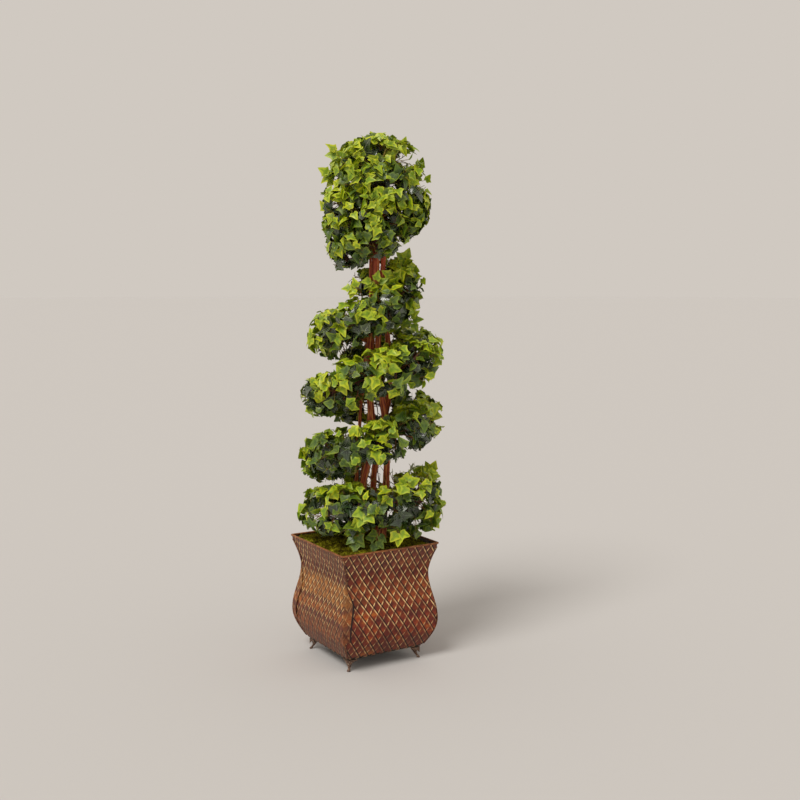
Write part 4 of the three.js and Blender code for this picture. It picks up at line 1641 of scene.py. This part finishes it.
@dataclass
class Head:
    """The outline of the head at the plant's top."""

    spiral: Spiral
    bottom: float = 1112
    waist: float = 1270
    top: float = 1492
    wide: float = 154
    draw: float = 0.24
    crown: float = 3.7
    split: float = 1338
    hollow: float = 33
    spine: float = 84
    stalk_from: float = 1215

    def radius(self, z: float) -> float:
        """Radius of the outline at a height."""
        if z < self.waist:
            return self.wide * (1 - self.draw * ((self.waist - z) / (self.waist - self.bottom)) ** 2)
        share = min(max((z - self.waist) / (self.top - self.waist), 0), 1)
        return self.wide * math.sqrt(1 - share ** self.crown)

    def inside(self, point: Vector, quarter: int) -> bool:
        """Whether a point is in the room of a quarter of the head."""
        radius, _, edge = self.spiral.sector(point, quarter * 90)
        level = self.spiral.head_underside(point) < point.z < self.split + self.spiral.overlap
        return edge > -self.spiral.overlap and self.hollow < radius < self.radius(point.z) and level

    def inside_top(self, point: Vector) -> bool:
        """Whether a point is in the room of the head's top."""
        out = point - self.spiral.axis(point.z)
        low = self.split - self.spiral.overlap
        return low < point.z < self.top and math.hypot(out.x, out.y) < self.radius(point.z)


@dataclass
class Mass:
    """One mass of foliage: its room, its spine and how its twigs stand out."""

    node: str
    seed: int
    twigs: int
    shade: float
    stalk: list[Vector]
    spine: Callable[[float], Vector]
    outward: Callable[[float, float], Vector]
    inside: Callable[[Vector], bool]


class LeafShape:
    """One ivy leaf of five lobes: a thin closed blade, folded along its midrib."""

    half = ((0.18, -0.14), (0.37, -0.07), (0.42, 0.09), (0.60, 0.28), (0.37, 0.44), (0.25, 0.66),
            (0.12, 0.86))
    inner = ((0.0, 0.35), (0.0, 0.66), (0.30, 0.20), (-0.30, 0.20))
    lobes = {2: (0.75, 1.1), 4: (0.8, 1.15)}
    tips = (4, 8, 12)
    thickness = 0.018

    def __init__(self) -> None:
        """Lays out the points and faces."""
        left = [(-x, y) for x, y in reversed(self.half)]
        flat = np.array([(0.0, 0.0), *self.half, (0.0, 1.0), *left, *self.inner, *self.inner])
        self.x, self.y = flat[:, 0], flat[:, 1]
        self.rim = np.array([0.3] + [1.0] * 15 + [0.0] * 8)
        self.under = np.array([0.0] * 20 + [1.0] * 4)
        right = [(0, 1, 18), (1, 2, 18), (2, 3, 18), (3, 4, 18), (4, 5, 18), (5, 16, 18), (16, 0, 18),
                 (5, 6, 16), (6, 17, 16), (6, 7, 17), (7, 8, 17)]
        swap = {**{i: 16 - i for i in range(1, 16)}, 0: 0, 16: 16, 17: 17, 18: 19}
        upper = right + [tuple(swap[i] for i in reversed(face)) for face in right]
        lower = [tuple(i + 4 if i > 15 else i for i in reversed(face)) for face in upper]
        self.faces = upper + lower

    def place(self, root: Vector, along: Vector, face: Vector, size: float, rng: random.Random) -> np.ndarray:
        """One leaf's points.

        Args:
            root: Where the blade meets its stalk.
            along: The way from there to its tip.
            face: The way that its upper side looks.
            size: Its length.
            rng: What its own outline and curl are drawn from.

        Returns:
            The points, one row each.
        """
        across = along.cross(face).normalized()
        normal = across.cross(along).normalized()
        fold, curl, droop = rng.uniform(0.05, 0.5), rng.uniform(-0.1, 0.6), rng.uniform(0.0, 0.6)
        twist, skew, wide = rng.uniform(-0.25, 0.25), rng.uniform(-0.14, 0.14), rng.uniform(0.84, 1.08)
        x, y = self.x.copy(), self.y.copy()
        for index, reach in self.lobes.items():
            for point in (index, 16 - index):
                x[point] *= rng.uniform(*reach)
        x = x * wide + skew * y * y
        z = fold * np.abs(x) - curl * y * y - droop * x * x + twist * x * y - self.under * self.thickness
        axes = np.array([across, along, normal])
        return np.array(root) + size * (np.stack([x, y, z], axis=1) @ axes)


@dataclass
class Crown:
    """The boughs, twigs and leaves, grown in the rooms that the masses keep."""

    trunk: Trunk
    spiral: Spiral
    head: Head
    band_twigs: int = 28
    head_twigs: int = 46
    top_twigs: int = 56
    span: Pair = (0.03, 0.97)
    leaf_sizes: dict[LeafKind, Pair] = field(default_factory=lambda: {
        LeafKind.YOUNG: (23, 37), LeafKind.GREEN: (26, 38), LeafKind.OLD: (28, 40)})
    bright_share: float = 0.6
    ray_step: float = 2
    past_bright: Pair = (-3, 10)
    past_dark: Pair = (-12, 2)
    bough_radii: Triple = (6.5, 5.5, 4)
    bough_sides: int = 12
    bough_flutes: int = 4
    bough_points: int = 12
    bough_drop: float = 14
    bough_lowest: float = 365
    bough_core: float = 46
    bow: float = 3
    limb_near: float = 40
    limb_gap: float = 1.5
    stem_radii: Pair = (3.8, 3.4)
    spine_radii: Triple = (1.6, 3.2, 1.6)
    spine_points: int = 12
    least_reach: float = 16
    twig_radii: Pair = (1.7, 0.8)
    twig_bow: float = 0.08
    twig_leaves: tuple[float, ...] = (0.3, 0.55, 0.78, 0.94, 1.0)
    twig_lengths: tuple[Pair, Pair] = ((0.5, 0.8), (0.74, 0.94))
    forks: tuple[Pair, ...] = ((0.4, 1), (0.68, -1))
    branch_radii: Pair = (1.1, 0.6)
    branch_leaves: tuple[float, ...] = (0.35, 0.65, 0.88, 1.0)
    branch_lengths: Pair = (34, 54)
    branch_least: float = 14
    shoot_radii: Pair = (1.5, 0.8)
    stalk_radii: Pair = (0.75, 0.5)
    stalk_outs: Pair = (0.5, 0.95)
    stalk_lengths: Pair = (6, 13)
    shrink: float = 0.84
    tries: int = 3
    light_bright: float = 0.12
    light_dark: float = -0.24
    light_rise: float = 0.28
    light_spread: float = 0.16
    young_from: float = 0.76
    green_from: float = 0.48
    leaf_cover: float = 0.33
    eye_height: float = 1095
    eye_distance: float = 3160
    sky_gaps: tuple[SkyGap, ...] = (
        SkyGap(-57, 1431, 7), SkyGap(71, 1449, 6), SkyGap(106, 1423, 12), SkyGap(136, 1410, 8),
        SkyGap(44, 1461, 4), SkyGap(88, 1346, 6), SkyGap(173, 1348, 8), SkyGap(-81, 1296, 6),
        SkyGap(-6, 1288, 5), SkyGap(108, 1277, 4), SkyGap(71, 1262, 6), SkyGap(100, 1204, 6),
        SkyGap(-37, 1154, 5),
        SkyGap(-83, 1208, 5), SkyGap(-108, 1136, 16), SkyGap(-36, 1101, 18), SkyGap(-172, 980, 12),
        SkyGap(-139, 862, 20), SkyGap(-66, 884, 8), SkyGap(-40, 902, 7), SkyGap(-172, 818, 13),
        SkyGap(139, 766, 12), SkyGap(-44, 647, 5), SkyGap(212, 682, 7), SkyGap(109, 639, 4),
        SkyGap(91, 549, 16), SkyGap(122, 566, 12), SkyGap(-150, 502, 10), SkyGap(-108, 508, 9),
        SkyGap(-65, 513, 8), SkyGap(-209, 446, 20), SkyGap(82, 496, 6), SkyGap(82, 422, 5),
        SkyGap(-135, 406, 6), SkyGap(-75, 400, 4), SkyGap(177, 445, 5), SkyGap(156, 388, 8),
    )
    stem_gaps: tuple[SkyGap, ...] = (
        SkyGap(28, 524, 34), SkyGap(8, 545, 20), SkyGap(66, 530, 18), SkyGap(12, 722, 22),
        SkyGap(52, 720, 24), SkyGap(22, 914, 14), SkyGap(76, 925, 9), SkyGap(32, 1180, 12),
        SkyGap(40, 1128, 18),
    )
    shoots: tuple[Shoot, ...] = (
        Shoot((40, 0, 1395), (47, -8, 1430), (40, -14, 1464), 37, 5),
        Shoot((84, 0, 1405), (100, -4, 1436), (110, -6, 1456), 31, 4),
        Shoot((-15, 0, 1385), (-48, 0, 1408), (-71, -6, 1442), 33, 5),
        Shoot((-55, 0, 1362), (-74, 0, 1366), (-94, -5, 1380), 31, 4),
        Shoot((104, 40, 1085), (110, 30, 1118), (120, 20, 1148), 34, 6),
        Shoot((66, 36, 1105), (72, 30, 1120), (70, 20, 1142), 27, 3),
        Shoot((50, -50, 1052), (44, -72, 1076), (28, -80, 1084), 30, 5),
        Shoot((0, -60, 1040), (-8, -76, 1062), (-24, -80, 1066), 29, 4),
        Shoot((80, -40, 1060), (90, -56, 1082), (84, -62, 1094), 29, 4),
        Shoot((108, 10, 990), (128, 5, 985), (140, 0, 968), 32, 4),
        Shoot((165, 10, 682), (186, 0, 700), (200, -6, 716), 31, 5),
        Shoot((150, 10, 500), (178, 5, 520), (196, 0, 540), 33, 5),
        Shoot((165, 0, 402), (184, -5, 406), (198, -8, 398), 31, 3),
        Shoot((40, -100, 412), (90, -138, 406), (102, -150, 384), 32, 3),
        Shoot((-4, -104, 410), (-12, -132, 392), (-18, -142, 368), 30, 5, LeafKind.GREEN),
        Shoot((52, -100, 410), (46, -126, 390), (38, -136, 364), 30, 5, LeafKind.GREEN),
        Shoot((0, -150, 470), (10, -178, 468), (6, -190, 452), 36, 5),
        Shoot((20, -140, 824), (30, -168, 830), (34, -180, 814), 35, 5),
        Shoot((60, -95, 1330), (66, -120, 1332), (62, -134, 1318), 35, 5),
    )

    def __post_init__(self) -> None:
        """Starts the pieces that the sprays are gathered in."""
        self.boughs = Batch()
        self.twigs = Batch()
        self.stalks = Batch()
        self.leaves = {kind: Batch() for kind in LeafKind}
        self.leaf = LeafShape()
        self.limbs: list[tuple[Vector, Vector]] = []

    def reach_in(self, inside: Callable[[Vector], bool], start: Vector, way: Vector) -> float:
        """How far a ray runs inside a room.

        Args:
            inside: Whether a point is in the room.
            start: Where the ray starts.
            way: The way it goes.

        Returns:
            Its length.
        """
        reach = 0.0
        while reach < 400 and inside(start + way * (reach + self.ray_step)):
            reach += self.ray_step
        return reach

    def band_mass(self, index: int) -> Mass:
        """The mass of one quarter turn, after its bough is made.

        Args:
            index: The quarter's number from the top.

        Returns:
            The mass.
        """
        spiral = self.spiral
        start = spiral.first_angle + index * 90
        label = f"turn_{index // 4 + 1}_quarter_{index % 4 + 1}"

        def heading(t: float) -> float:
            """Heading of the band's middle."""
            return START - math.radians(start + 90 * t)

        def inside(point: Vector) -> bool:
            """Whether a point is in the quarter's room."""
            return spiral.inside(point, start)

        middle = spiral.point(start + 45)
        z = max(middle.z - self.bough_drop, self.bough_lowest)
        root = self.trunk.point(self.trunk.nearest(z, heading(0.5)), z)
        way = (middle - root).normalized()
        tip = middle - way * min(self.reach_in(inside, middle, -way) - 2, self.bough_core)
        bend = (root + tip) / 2 + Vector((0, 0, self.bow))
        path = self.arc([root, bend, tip], self.bough_points)
        radii = np.interp(np.linspace(0, 2, self.bough_points), (0, 1, 2), self.bough_radii)
        bark_limb(self.boughs, path, radii, self.bough_sides, self.bough_flutes, index * 1.7)
        self.limbs.append((root, tip))
        return Mass(
            node=f"foliage_{label}", seed=11 + index, twigs=self.band_twigs, shade=0, stalk=[tip, middle],
            spine=lambda t: spiral.point(start + 90 * t),
            outward=lambda t, turn: polar(math.cos(turn), heading(t), math.sin(turn)),
            inside=inside,
        )

    def head_mass(self, quarter: int) -> Mass:
        """The mass of one quarter of the head.

        Args:
            quarter: The quarter's number, 0 to 3.

        Returns:
            The mass.
        """
        head = self.head
        heading = START - math.radians(quarter * 90)
        z = head.stalk_from

        def axis(height: float) -> Vector:
            """The quarter's own middle line."""
            return self.spiral.axis(height) + polar(head.spine, heading)

        low = self.spiral.head_underside(axis(head.waist))
        root = self.trunk.point(self.trunk.nearest(z, heading), z)
        return Mass(
            node=f"foliage_head_quarter_{quarter + 1}", seed=41 + quarter, twigs=self.head_twigs, shade=0.55,
            stalk=[root, (root + axis(z + 10)) / 2 + Vector((0, 0, self.bow)), axis(z + 10)],
            spine=lambda t: axis(lerp(low + 8, head.split - 8, t)),
            outward=lambda t, turn: polar(1, heading - turn),
            inside=lambda point: head.inside(point, quarter),
        )

    def top_mass(self) -> Mass:
        """The mass of the head's top.

        Returns:
            The mass.
        """
        head = self.head
        tallest = self.trunk.stems[0]
        middle = self.spiral.axis(head.split + 22)
        return Mass(
            node="foliage_head_top", seed=51, twigs=self.top_twigs, shade=0,
            stalk=[self.trunk.point(tallest, tallest.top - 6), middle],
            spine=lambda t: self.spiral.axis(lerp(head.split + 2, head.top - 55, t)),
            outward=lambda t, turn: polar(1, START - turn, 1.5 * t * t).normalized(),
            inside=head.inside_top,
        )

    def arc(self, corners: Sequence[Vector], count: int) -> np.ndarray:
        """Points evenly spaced along a smooth bend through two or three corners.

        Args:
            corners: The corners.
            count: How many points.

        Returns:
            The points, one row each.
        """
        if len(corners) == 2:
            corners = [corners[0], (corners[0] + corners[1]) / 2, corners[1]]
        start, bend, end = corners
        pull = bend * 2 - (start + end) / 2
        shares = np.linspace(0, 1, count)
        return np.array([start * (1 - t) ** 2 + pull * 2 * t * (1 - t) + end * t * t for t in shares])

    def twig(self, batch: Batch, corners: Sequence[Vector], radii: Pair, sides: int,
             outs: Pair, count: int = 5) -> np.ndarray:
        """Adds a twig along a bend.

        Args:
            batch: What it is added to.
            corners: Two or three points that it passes.
            radii: Its radius at its start and its end.
            sides: Sides of its section.
            outs: How far out on the spray its start and its end are, 0 to 1.
            count: Points along it.

        Returns:
            The points of its middle line.
        """
        path = self.arc(corners, count)
        points, faces = tube(path, np.linspace(*radii, count), sides)
        batch.add(points, faces, out=np.repeat(np.linspace(*outs, count), sides))
        return path

    def clear(self, point: Vector) -> bool:
        """Whether a point is clear of the moss, the rim and every bough.

        Args:
            point: The point.

        Returns:
            Whether it is.
        """
        if point.z < self.spiral.floor(point):
            return False
        for root, tip in self.limbs:
            if abs(point.z - tip.z) < self.limb_near:
                run = tip - root
                share = min(max((point - root).dot(run) / run.length_squared, 0), 1)
                if (point - root - run * share).length < self.bough_radii[0] + self.limb_gap:
                    return False
        return True

    def in_sky(self, point: Vector, size: float) -> bool:
        """Whether a leaf at a point would cover one of the gaps that show the wall.

        Args:
            point: The leaf's middle.
            size: Its length.

        Returns:
            Whether it would.
        """
        across = point.dot(polar(1, START))
        depth = point.dot(polar(1, START + math.pi / 2)) / self.eye_distance
        for gap in (*self.sky_gaps, *self.stem_gaps):
            rise = gap.z + depth * (gap.z - self.eye_height)
            away = math.hypot(across - gap.across * (1 + depth), point.z - rise)
            if away < gap.radius + size * self.leaf_cover:
                return True
        return False

    def add_leaf(self, points: np.ndarray, age: LeafKind, rng: random.Random) -> None:
        """Adds a leaf's points to the leaves of its kind."""
        flat = np.stack([self.leaf.x, self.leaf.y, np.full(len(points), rng.random())], axis=1)
        self.leaves[age].add(points, self.leaf.faces, leaf=flat, rim=self.leaf.rim)

    def plant_leaf(self, mass: Mass, node: Vector, away: Vector, outward: Vector, past: float,
                   age: LeafKind, rng: random.Random) -> None:
        """Adds a leaf on its own stalk, if it fits in the room.

        Args:
            mass: The mass that it belongs to.
            node: Where its stalk leaves the twig.
            away: The way that the stalk leaves.
            outward: The way out of the mass here.
            past: How far its tips may pass the room.
            age: Which kind of leaf it is.
            rng: What its place and size are drawn from.
        """
        wild, other = (Vector([rng.gauss(0, 1) for _ in range(3)]) for _ in range(2))
        stem = (away * rng.uniform(0.5, 1.2) + outward * rng.uniform(0.2, 0.9) + UP * 0.2).normalized()
        along = stem * 0.8 + wild * 0.45 - UP * rng.uniform(0, 0.6)
        along = (along - outward * along.dot(outward) * 0.35).normalized()
        face = outward * 0.8 + UP * 0.5 + other * 0.55
        size = rng.uniform(*self.leaf_sizes[age])
        root = node + stem * rng.uniform(*self.stalk_lengths)
        slack = outward * past
        for _ in range(self.tries):
            points = self.leaf.place(root, along, face, size, rng)
            tips = [Vector(points[i]) for i in self.leaf.tips]
            fits = all(mass.inside(tip - slack) for tip in tips)
            if fits and all(self.clear(tip) for tip in (*tips, root)):
                break
            size *= self.shrink
            root = node.lerp(root, 0.75)
            along = (along * 0.8 - outward * 0.35).normalized()
        else:
            return
        if self.in_sky(root + along * size * 0.4, size):
            return
        self.add_leaf(points, age, rng)
        stalk = [node, node.lerp(root, 0.5) + UP * 1.2, root + along * 1.5]
        self.twig(self.stalks, stalk, self.stalk_radii, 3, self.stalk_outs, 3)

    def age(self, depth: float, upward: float, light: float, rng: random.Random) -> LeafKind:
        """Which kind a leaf is, by its place on the spray and how light the spray is.

        Args:
            depth: How far out on the spray it is, 0 to 1.
            upward: How far its twig points up.
            light: How light the spray is.
            rng: What chance is drawn from.

        Returns:
            Its kind.
        """
        light += depth + self.light_rise * upward + rng.uniform(-self.light_spread, self.light_spread)
        if light > self.young_from:
            return LeafKind.YOUNG
        return LeafKind.GREEN if light > self.green_from else LeafKind.OLD

    def spray(self, mass: Mass, t: float, way: Vector, reach: float, rng: random.Random) -> None:
        """Adds one spray: a twig with two shoots, and leaves on all three.

        Args:
            mass: The mass that it belongs to.
            t: Where it leaves the mass's spine, 0 to 1.
            way: The way it goes.
            reach: How far its room runs that way.
            rng: What it is drawn from.
        """
        start = mass.spine(t)
        bright = rng.random() < self.bright_share
        past = rng.uniform(*(self.past_bright if bright else self.past_dark))
        light = self.light_bright if bright else self.light_dark
        light += mass.shade * (min(t, 0.7) - 0.7)
        side = way.orthogonal().normalized()
        side.rotate(Matrix.Rotation(rng.uniform(0, 2 * math.pi), 3, way))
        length = reach * rng.uniform(*self.twig_lengths[bright])
        tip = start + way * length + side * length * rng.uniform(-0.2, 0.2)
        bend = start.lerp(tip, 0.5) + side * length * self.twig_bow
        main = self.twig(self.twigs, [start, bend, tip], self.twig_radii, 5, (0, 0.6))
        self.leaves_along(mass, main, way, reach, start, self.twig_leaves, past, light, rng)
        for share, sense in self.forks:
            fork = Vector(main[round(share * 4)])
            branch = way * 0.8 + side * sense * rng.uniform(0.6, 1.1) + UP * rng.uniform(-0.2, 0.3)
            branch = branch.normalized()
            room = self.reach_in(mass.inside, fork, branch)
            if room < self.branch_least:
                continue
            end = fork + branch * min(room * 0.85, rng.uniform(*self.branch_lengths))
            bend = fork.lerp(end, 0.5) + UP * 1.5
            shoot = self.twig(self.twigs, [fork, bend, end], self.branch_radii, 4, (0.3, 0.8))
            self.leaves_along(mass, shoot, branch, reach, start, self.branch_leaves, past, light, rng)

    def leaves_along(self, mass: Mass, path: np.ndarray, way: Vector, reach: float, start: Vector,
                     shares: Sequence[float], past: float, light: float, rng: random.Random) -> None:
        """Adds a leaf at each share of a twig's length, each turned on from the last.

        Args:
            mass: The mass that the twig belongs to.
            path: The twig's middle line.
            way: The way it goes.
            reach: How far the spray's room runs.
            start: Where the spray leaves the mass's spine.
            shares: Shares of the twig's length.
            past: How far the leaves' tips may pass the room.
            light: How light the spray is.
            rng: What the leaves are drawn from.
        """
        side = way.orthogonal().normalized()
        turn = rng.uniform(0, 2 * math.pi)
        for share in shares:
            turn += GOLDEN_ANGLE + rng.uniform(-0.3, 0.3)
            place = share * (len(path) - 1)
            index = min(int(place), len(path) - 2)
            node = Vector(path[index]).lerp(Vector(path[index + 1]), place - index)
            away = side.copy()
            away.rotate(Matrix.Rotation(turn, 3, way))
            if share == 1.0:
                away = (way + away * 0.35).normalized()
            outward = way.lerp((node - start).normalized(), 0.5).normalized()
            depth = min((node - start).length / max(reach, 1), 1)
            self.plant_leaf(mass, node, away, outward, past, self.age(depth, way.z, light, rng), rng)

    def grow(self, mass: Mass) -> None:
        """Grows one mass: its stem, its spine, and sprays by the golden angle along it.

        Args:
            mass: The mass.
        """
        rng = random.Random(mass.seed)
        self.twig(self.twigs, mass.stalk, self.stem_radii, 7, (0, 0), 7)
        low, high = self.span
        spine = np.array([mass.spine(t) for t in np.linspace(low, high, self.spine_points)])
        radii = np.interp(np.linspace(0, 1, self.spine_points), (0, 0.5, 1), self.spine_radii)
        points, faces = tube(spine, radii, 6)
        self.twigs.add(points, faces, out=np.zeros(len(points)))
        for i in range(mass.twigs):
            t = lerp(low, high, (i + rng.random()) / mass.twigs)
            way = mass.outward(t, i * GOLDEN_ANGLE + 0.5 * (rng.random() - 0.5))
            reach = self.reach_in(mass.inside, mass.spine(t), way)
            if reach > self.least_reach:
                self.spray(mass, t, way, reach, rng)

    def young_shoot(self, shoot: Shoot, rng: random.Random) -> None:
        """Adds a young shoot, with one leaf at its tip and others on each side in turn.

        Args:
            shoot: Its points, leaves and kind.
            rng: What its leaves are drawn from.
        """
        right, away = polar(1, START), polar(1, START + math.pi / 2)
        corners = [right * x + away * y + UP * z for x, y, z in (shoot.start, shoot.bend, shoot.tip)]
        path = self.twig(self.twigs, corners, self.shoot_radii, 5, (0, 0.7), 9)
        for index in range(shoot.leaves):
            node = Vector(path[8 - index])
            way = (node - Vector(path[7 - index])).normalized()
            side = away.cross(way).normalized() * (-1) ** index
            along = way if index == 0 else way * rng.uniform(0.2, 0.8) + side
            along = (along + Vector([rng.gauss(0, 0.12) for _ in range(3)])).normalized()
            face = UP * rng.uniform(0.2, 0.6) - away + side * rng.uniform(-0.2, 0.5)
            root = node + along * rng.uniform(4, 8)
            self.twig(self.stalks, [node, root + along * 1.5], self.stalk_radii, 3, self.stalk_outs, 3)
            size = shoot.size * rng.uniform(0.85, 1.0)
            self.add_leaf(self.leaf.place(root, along, face, size, rng), shoot.kind, rng)

    def build(self, twig: Material, bark: Material, leaf: dict[LeafKind, Material]) -> None:
        """Grows every mass and makes the pieces.

        Args:
            twig: The twigs' material.
            bark: The boughs' material.
            leaf: The leaves' materials by kind.
        """
        masses = [self.band_mass(i) for i in range(self.spiral.quarters)]
        masses += [self.head_mass(quarter) for quarter in range(4)] + [self.top_mass()]
        for mass in masses:
            self.grow(mass)
        rng = random.Random(7)
        for shoot in self.shoots:
            self.young_shoot(shoot, rng)
        nodes = [mass.node for mass in masses]
        boughs = self.boughs.make("bark_boughs")
        smooth(boughs, 60)
        bough_nodes = [node.replace("foliage", "bough") for node in nodes if "turn" in node]
        stand(boughs, "bark_boughs", "bark", bough_nodes, bark)
        for batch, name in ((self.twigs, "ivy_twigs"), (self.stalks, "leaf_stalks")):
            piece = batch.make(name)
            smooth(piece, 50)
            stand(piece, name, "ivy_leaves", nodes, twig)
        for kind, batch in self.leaves.items():
            piece = batch.make(kind.value)
            smooth(piece, 60)
            stand(piece, kind.value, "ivy_leaves", nodes, leaf[kind])


# Studio


@dataclass
class Studio:
    """A plain pale floor, soft light and the photograph's camera."""

    camera_place: Vector = field(default_factory=lambda: Vector((-1562.5, -2748.3, 1094.8)))
    heading: float = 31.53
    pitch: float = 6.30
    lens: float = 50
    sensor: float = 36
    floor_radius: float = 60
    floor_depth: float = 0.1
    air: tuple = srgb(208, 201, 193)
    sun_strength: float = 1.9
    sun_width: float = 24
    sun_colour: Triple = (1.0, 0.97, 0.93)
    sun_way: Triple = (0.5, 0.75, -1.1)

    def camera(self) -> None:
        """Sets up the camera at the photograph's viewpoint."""
        data = bpy.data.cameras.new("view")
        data.lens = self.lens
        data.sensor_width = self.sensor
        camera = bpy.data.objects.new("view", data)
        turn, down = math.radians(self.heading), math.radians(self.pitch)
        look = Vector((math.sin(turn) * math.cos(down), math.cos(turn) * math.cos(down), -math.sin(down)))
        camera.location = self.camera_place * MM + SHIFT
        camera.rotation_euler = look.to_track_quat("-Z", "Y").to_euler()
        bpy.context.scene.collection.objects.link(camera)
        bpy.context.scene.camera = camera

    def floor(self, material: Material) -> None:
        """Lays the floor, a disc wide enough to have no edge in view.

        Args:
            material: What it is made of.
        """
        deselect()
        bpy.ops.mesh.primitive_cylinder_add(vertices=96, radius=self.floor_radius, depth=self.floor_depth,
                                            location=(0, 0, -self.floor_depth / 2))
        floor = bpy.context.object
        bpy.ops.object.transform_apply(location=True)
        floor.name = "pale_floor"
        floor.data.materials.append(material)

    def light(self) -> None:
        """Lights the scene from all round, and softly from above on the left."""
        world = bpy.data.worlds.new("studio")
        bpy.context.scene.world = world
        world.use_nodes = True
        world.node_tree.nodes["Background"].inputs["Color"].default_value = self.air
        data = bpy.data.lights.new("key", "SUN")
        data.energy = self.sun_strength
        data.angle = math.radians(self.sun_width)
        data.color = self.sun_colour
        key = bpy.data.objects.new("key", data)
        spin = Matrix.Rotation(-math.radians(self.heading), 3, "Z")
        key.rotation_euler = (spin @ Vector(self.sun_way)).to_track_quat("-Z", "Y").to_euler()
        bpy.context.scene.collection.objects.link(key)
        bpy.context.scene.view_settings.view_transform = "Standard"


def main() -> None:
    """Builds the scene in order."""
    logging.basicConfig(level=logging.INFO, format="%(message)s")
    studio = Studio()
    studio.camera()
    studio.light()
    studio.floor(PALE_FLOOR.material())

    planter = Planter()
    planter.body(EmbossedFinish().material(), INNER_METAL.material())
    planter.rim(ROLLED_METAL.material())
    planter.laps(EmbossedFinish("lapped_metal", golden=True).material())
    planter.feet(CAST_METAL.material())
    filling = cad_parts["planter_filling"]
    filling.data.materials.clear()
    filling.data.materials.append(PACKED_FILLING.material())

    moss = Moss(planter.shape)
    green = MossFinish().material()
    moss.mound(green)
    moss.fronds(green)

    bark = BarkFinish().material()
    trunk = Trunk()
    trunk.build(bark)
    spiral = Spiral(trunk, moss)
    crown = Crown(trunk, spiral, Head(spiral))
    crown.build(TwigFinish().material(), bark, {kind: LEAF_FINISHES[kind].material() for kind in LeafKind})
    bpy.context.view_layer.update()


if __name__ == "__main__":
    main()
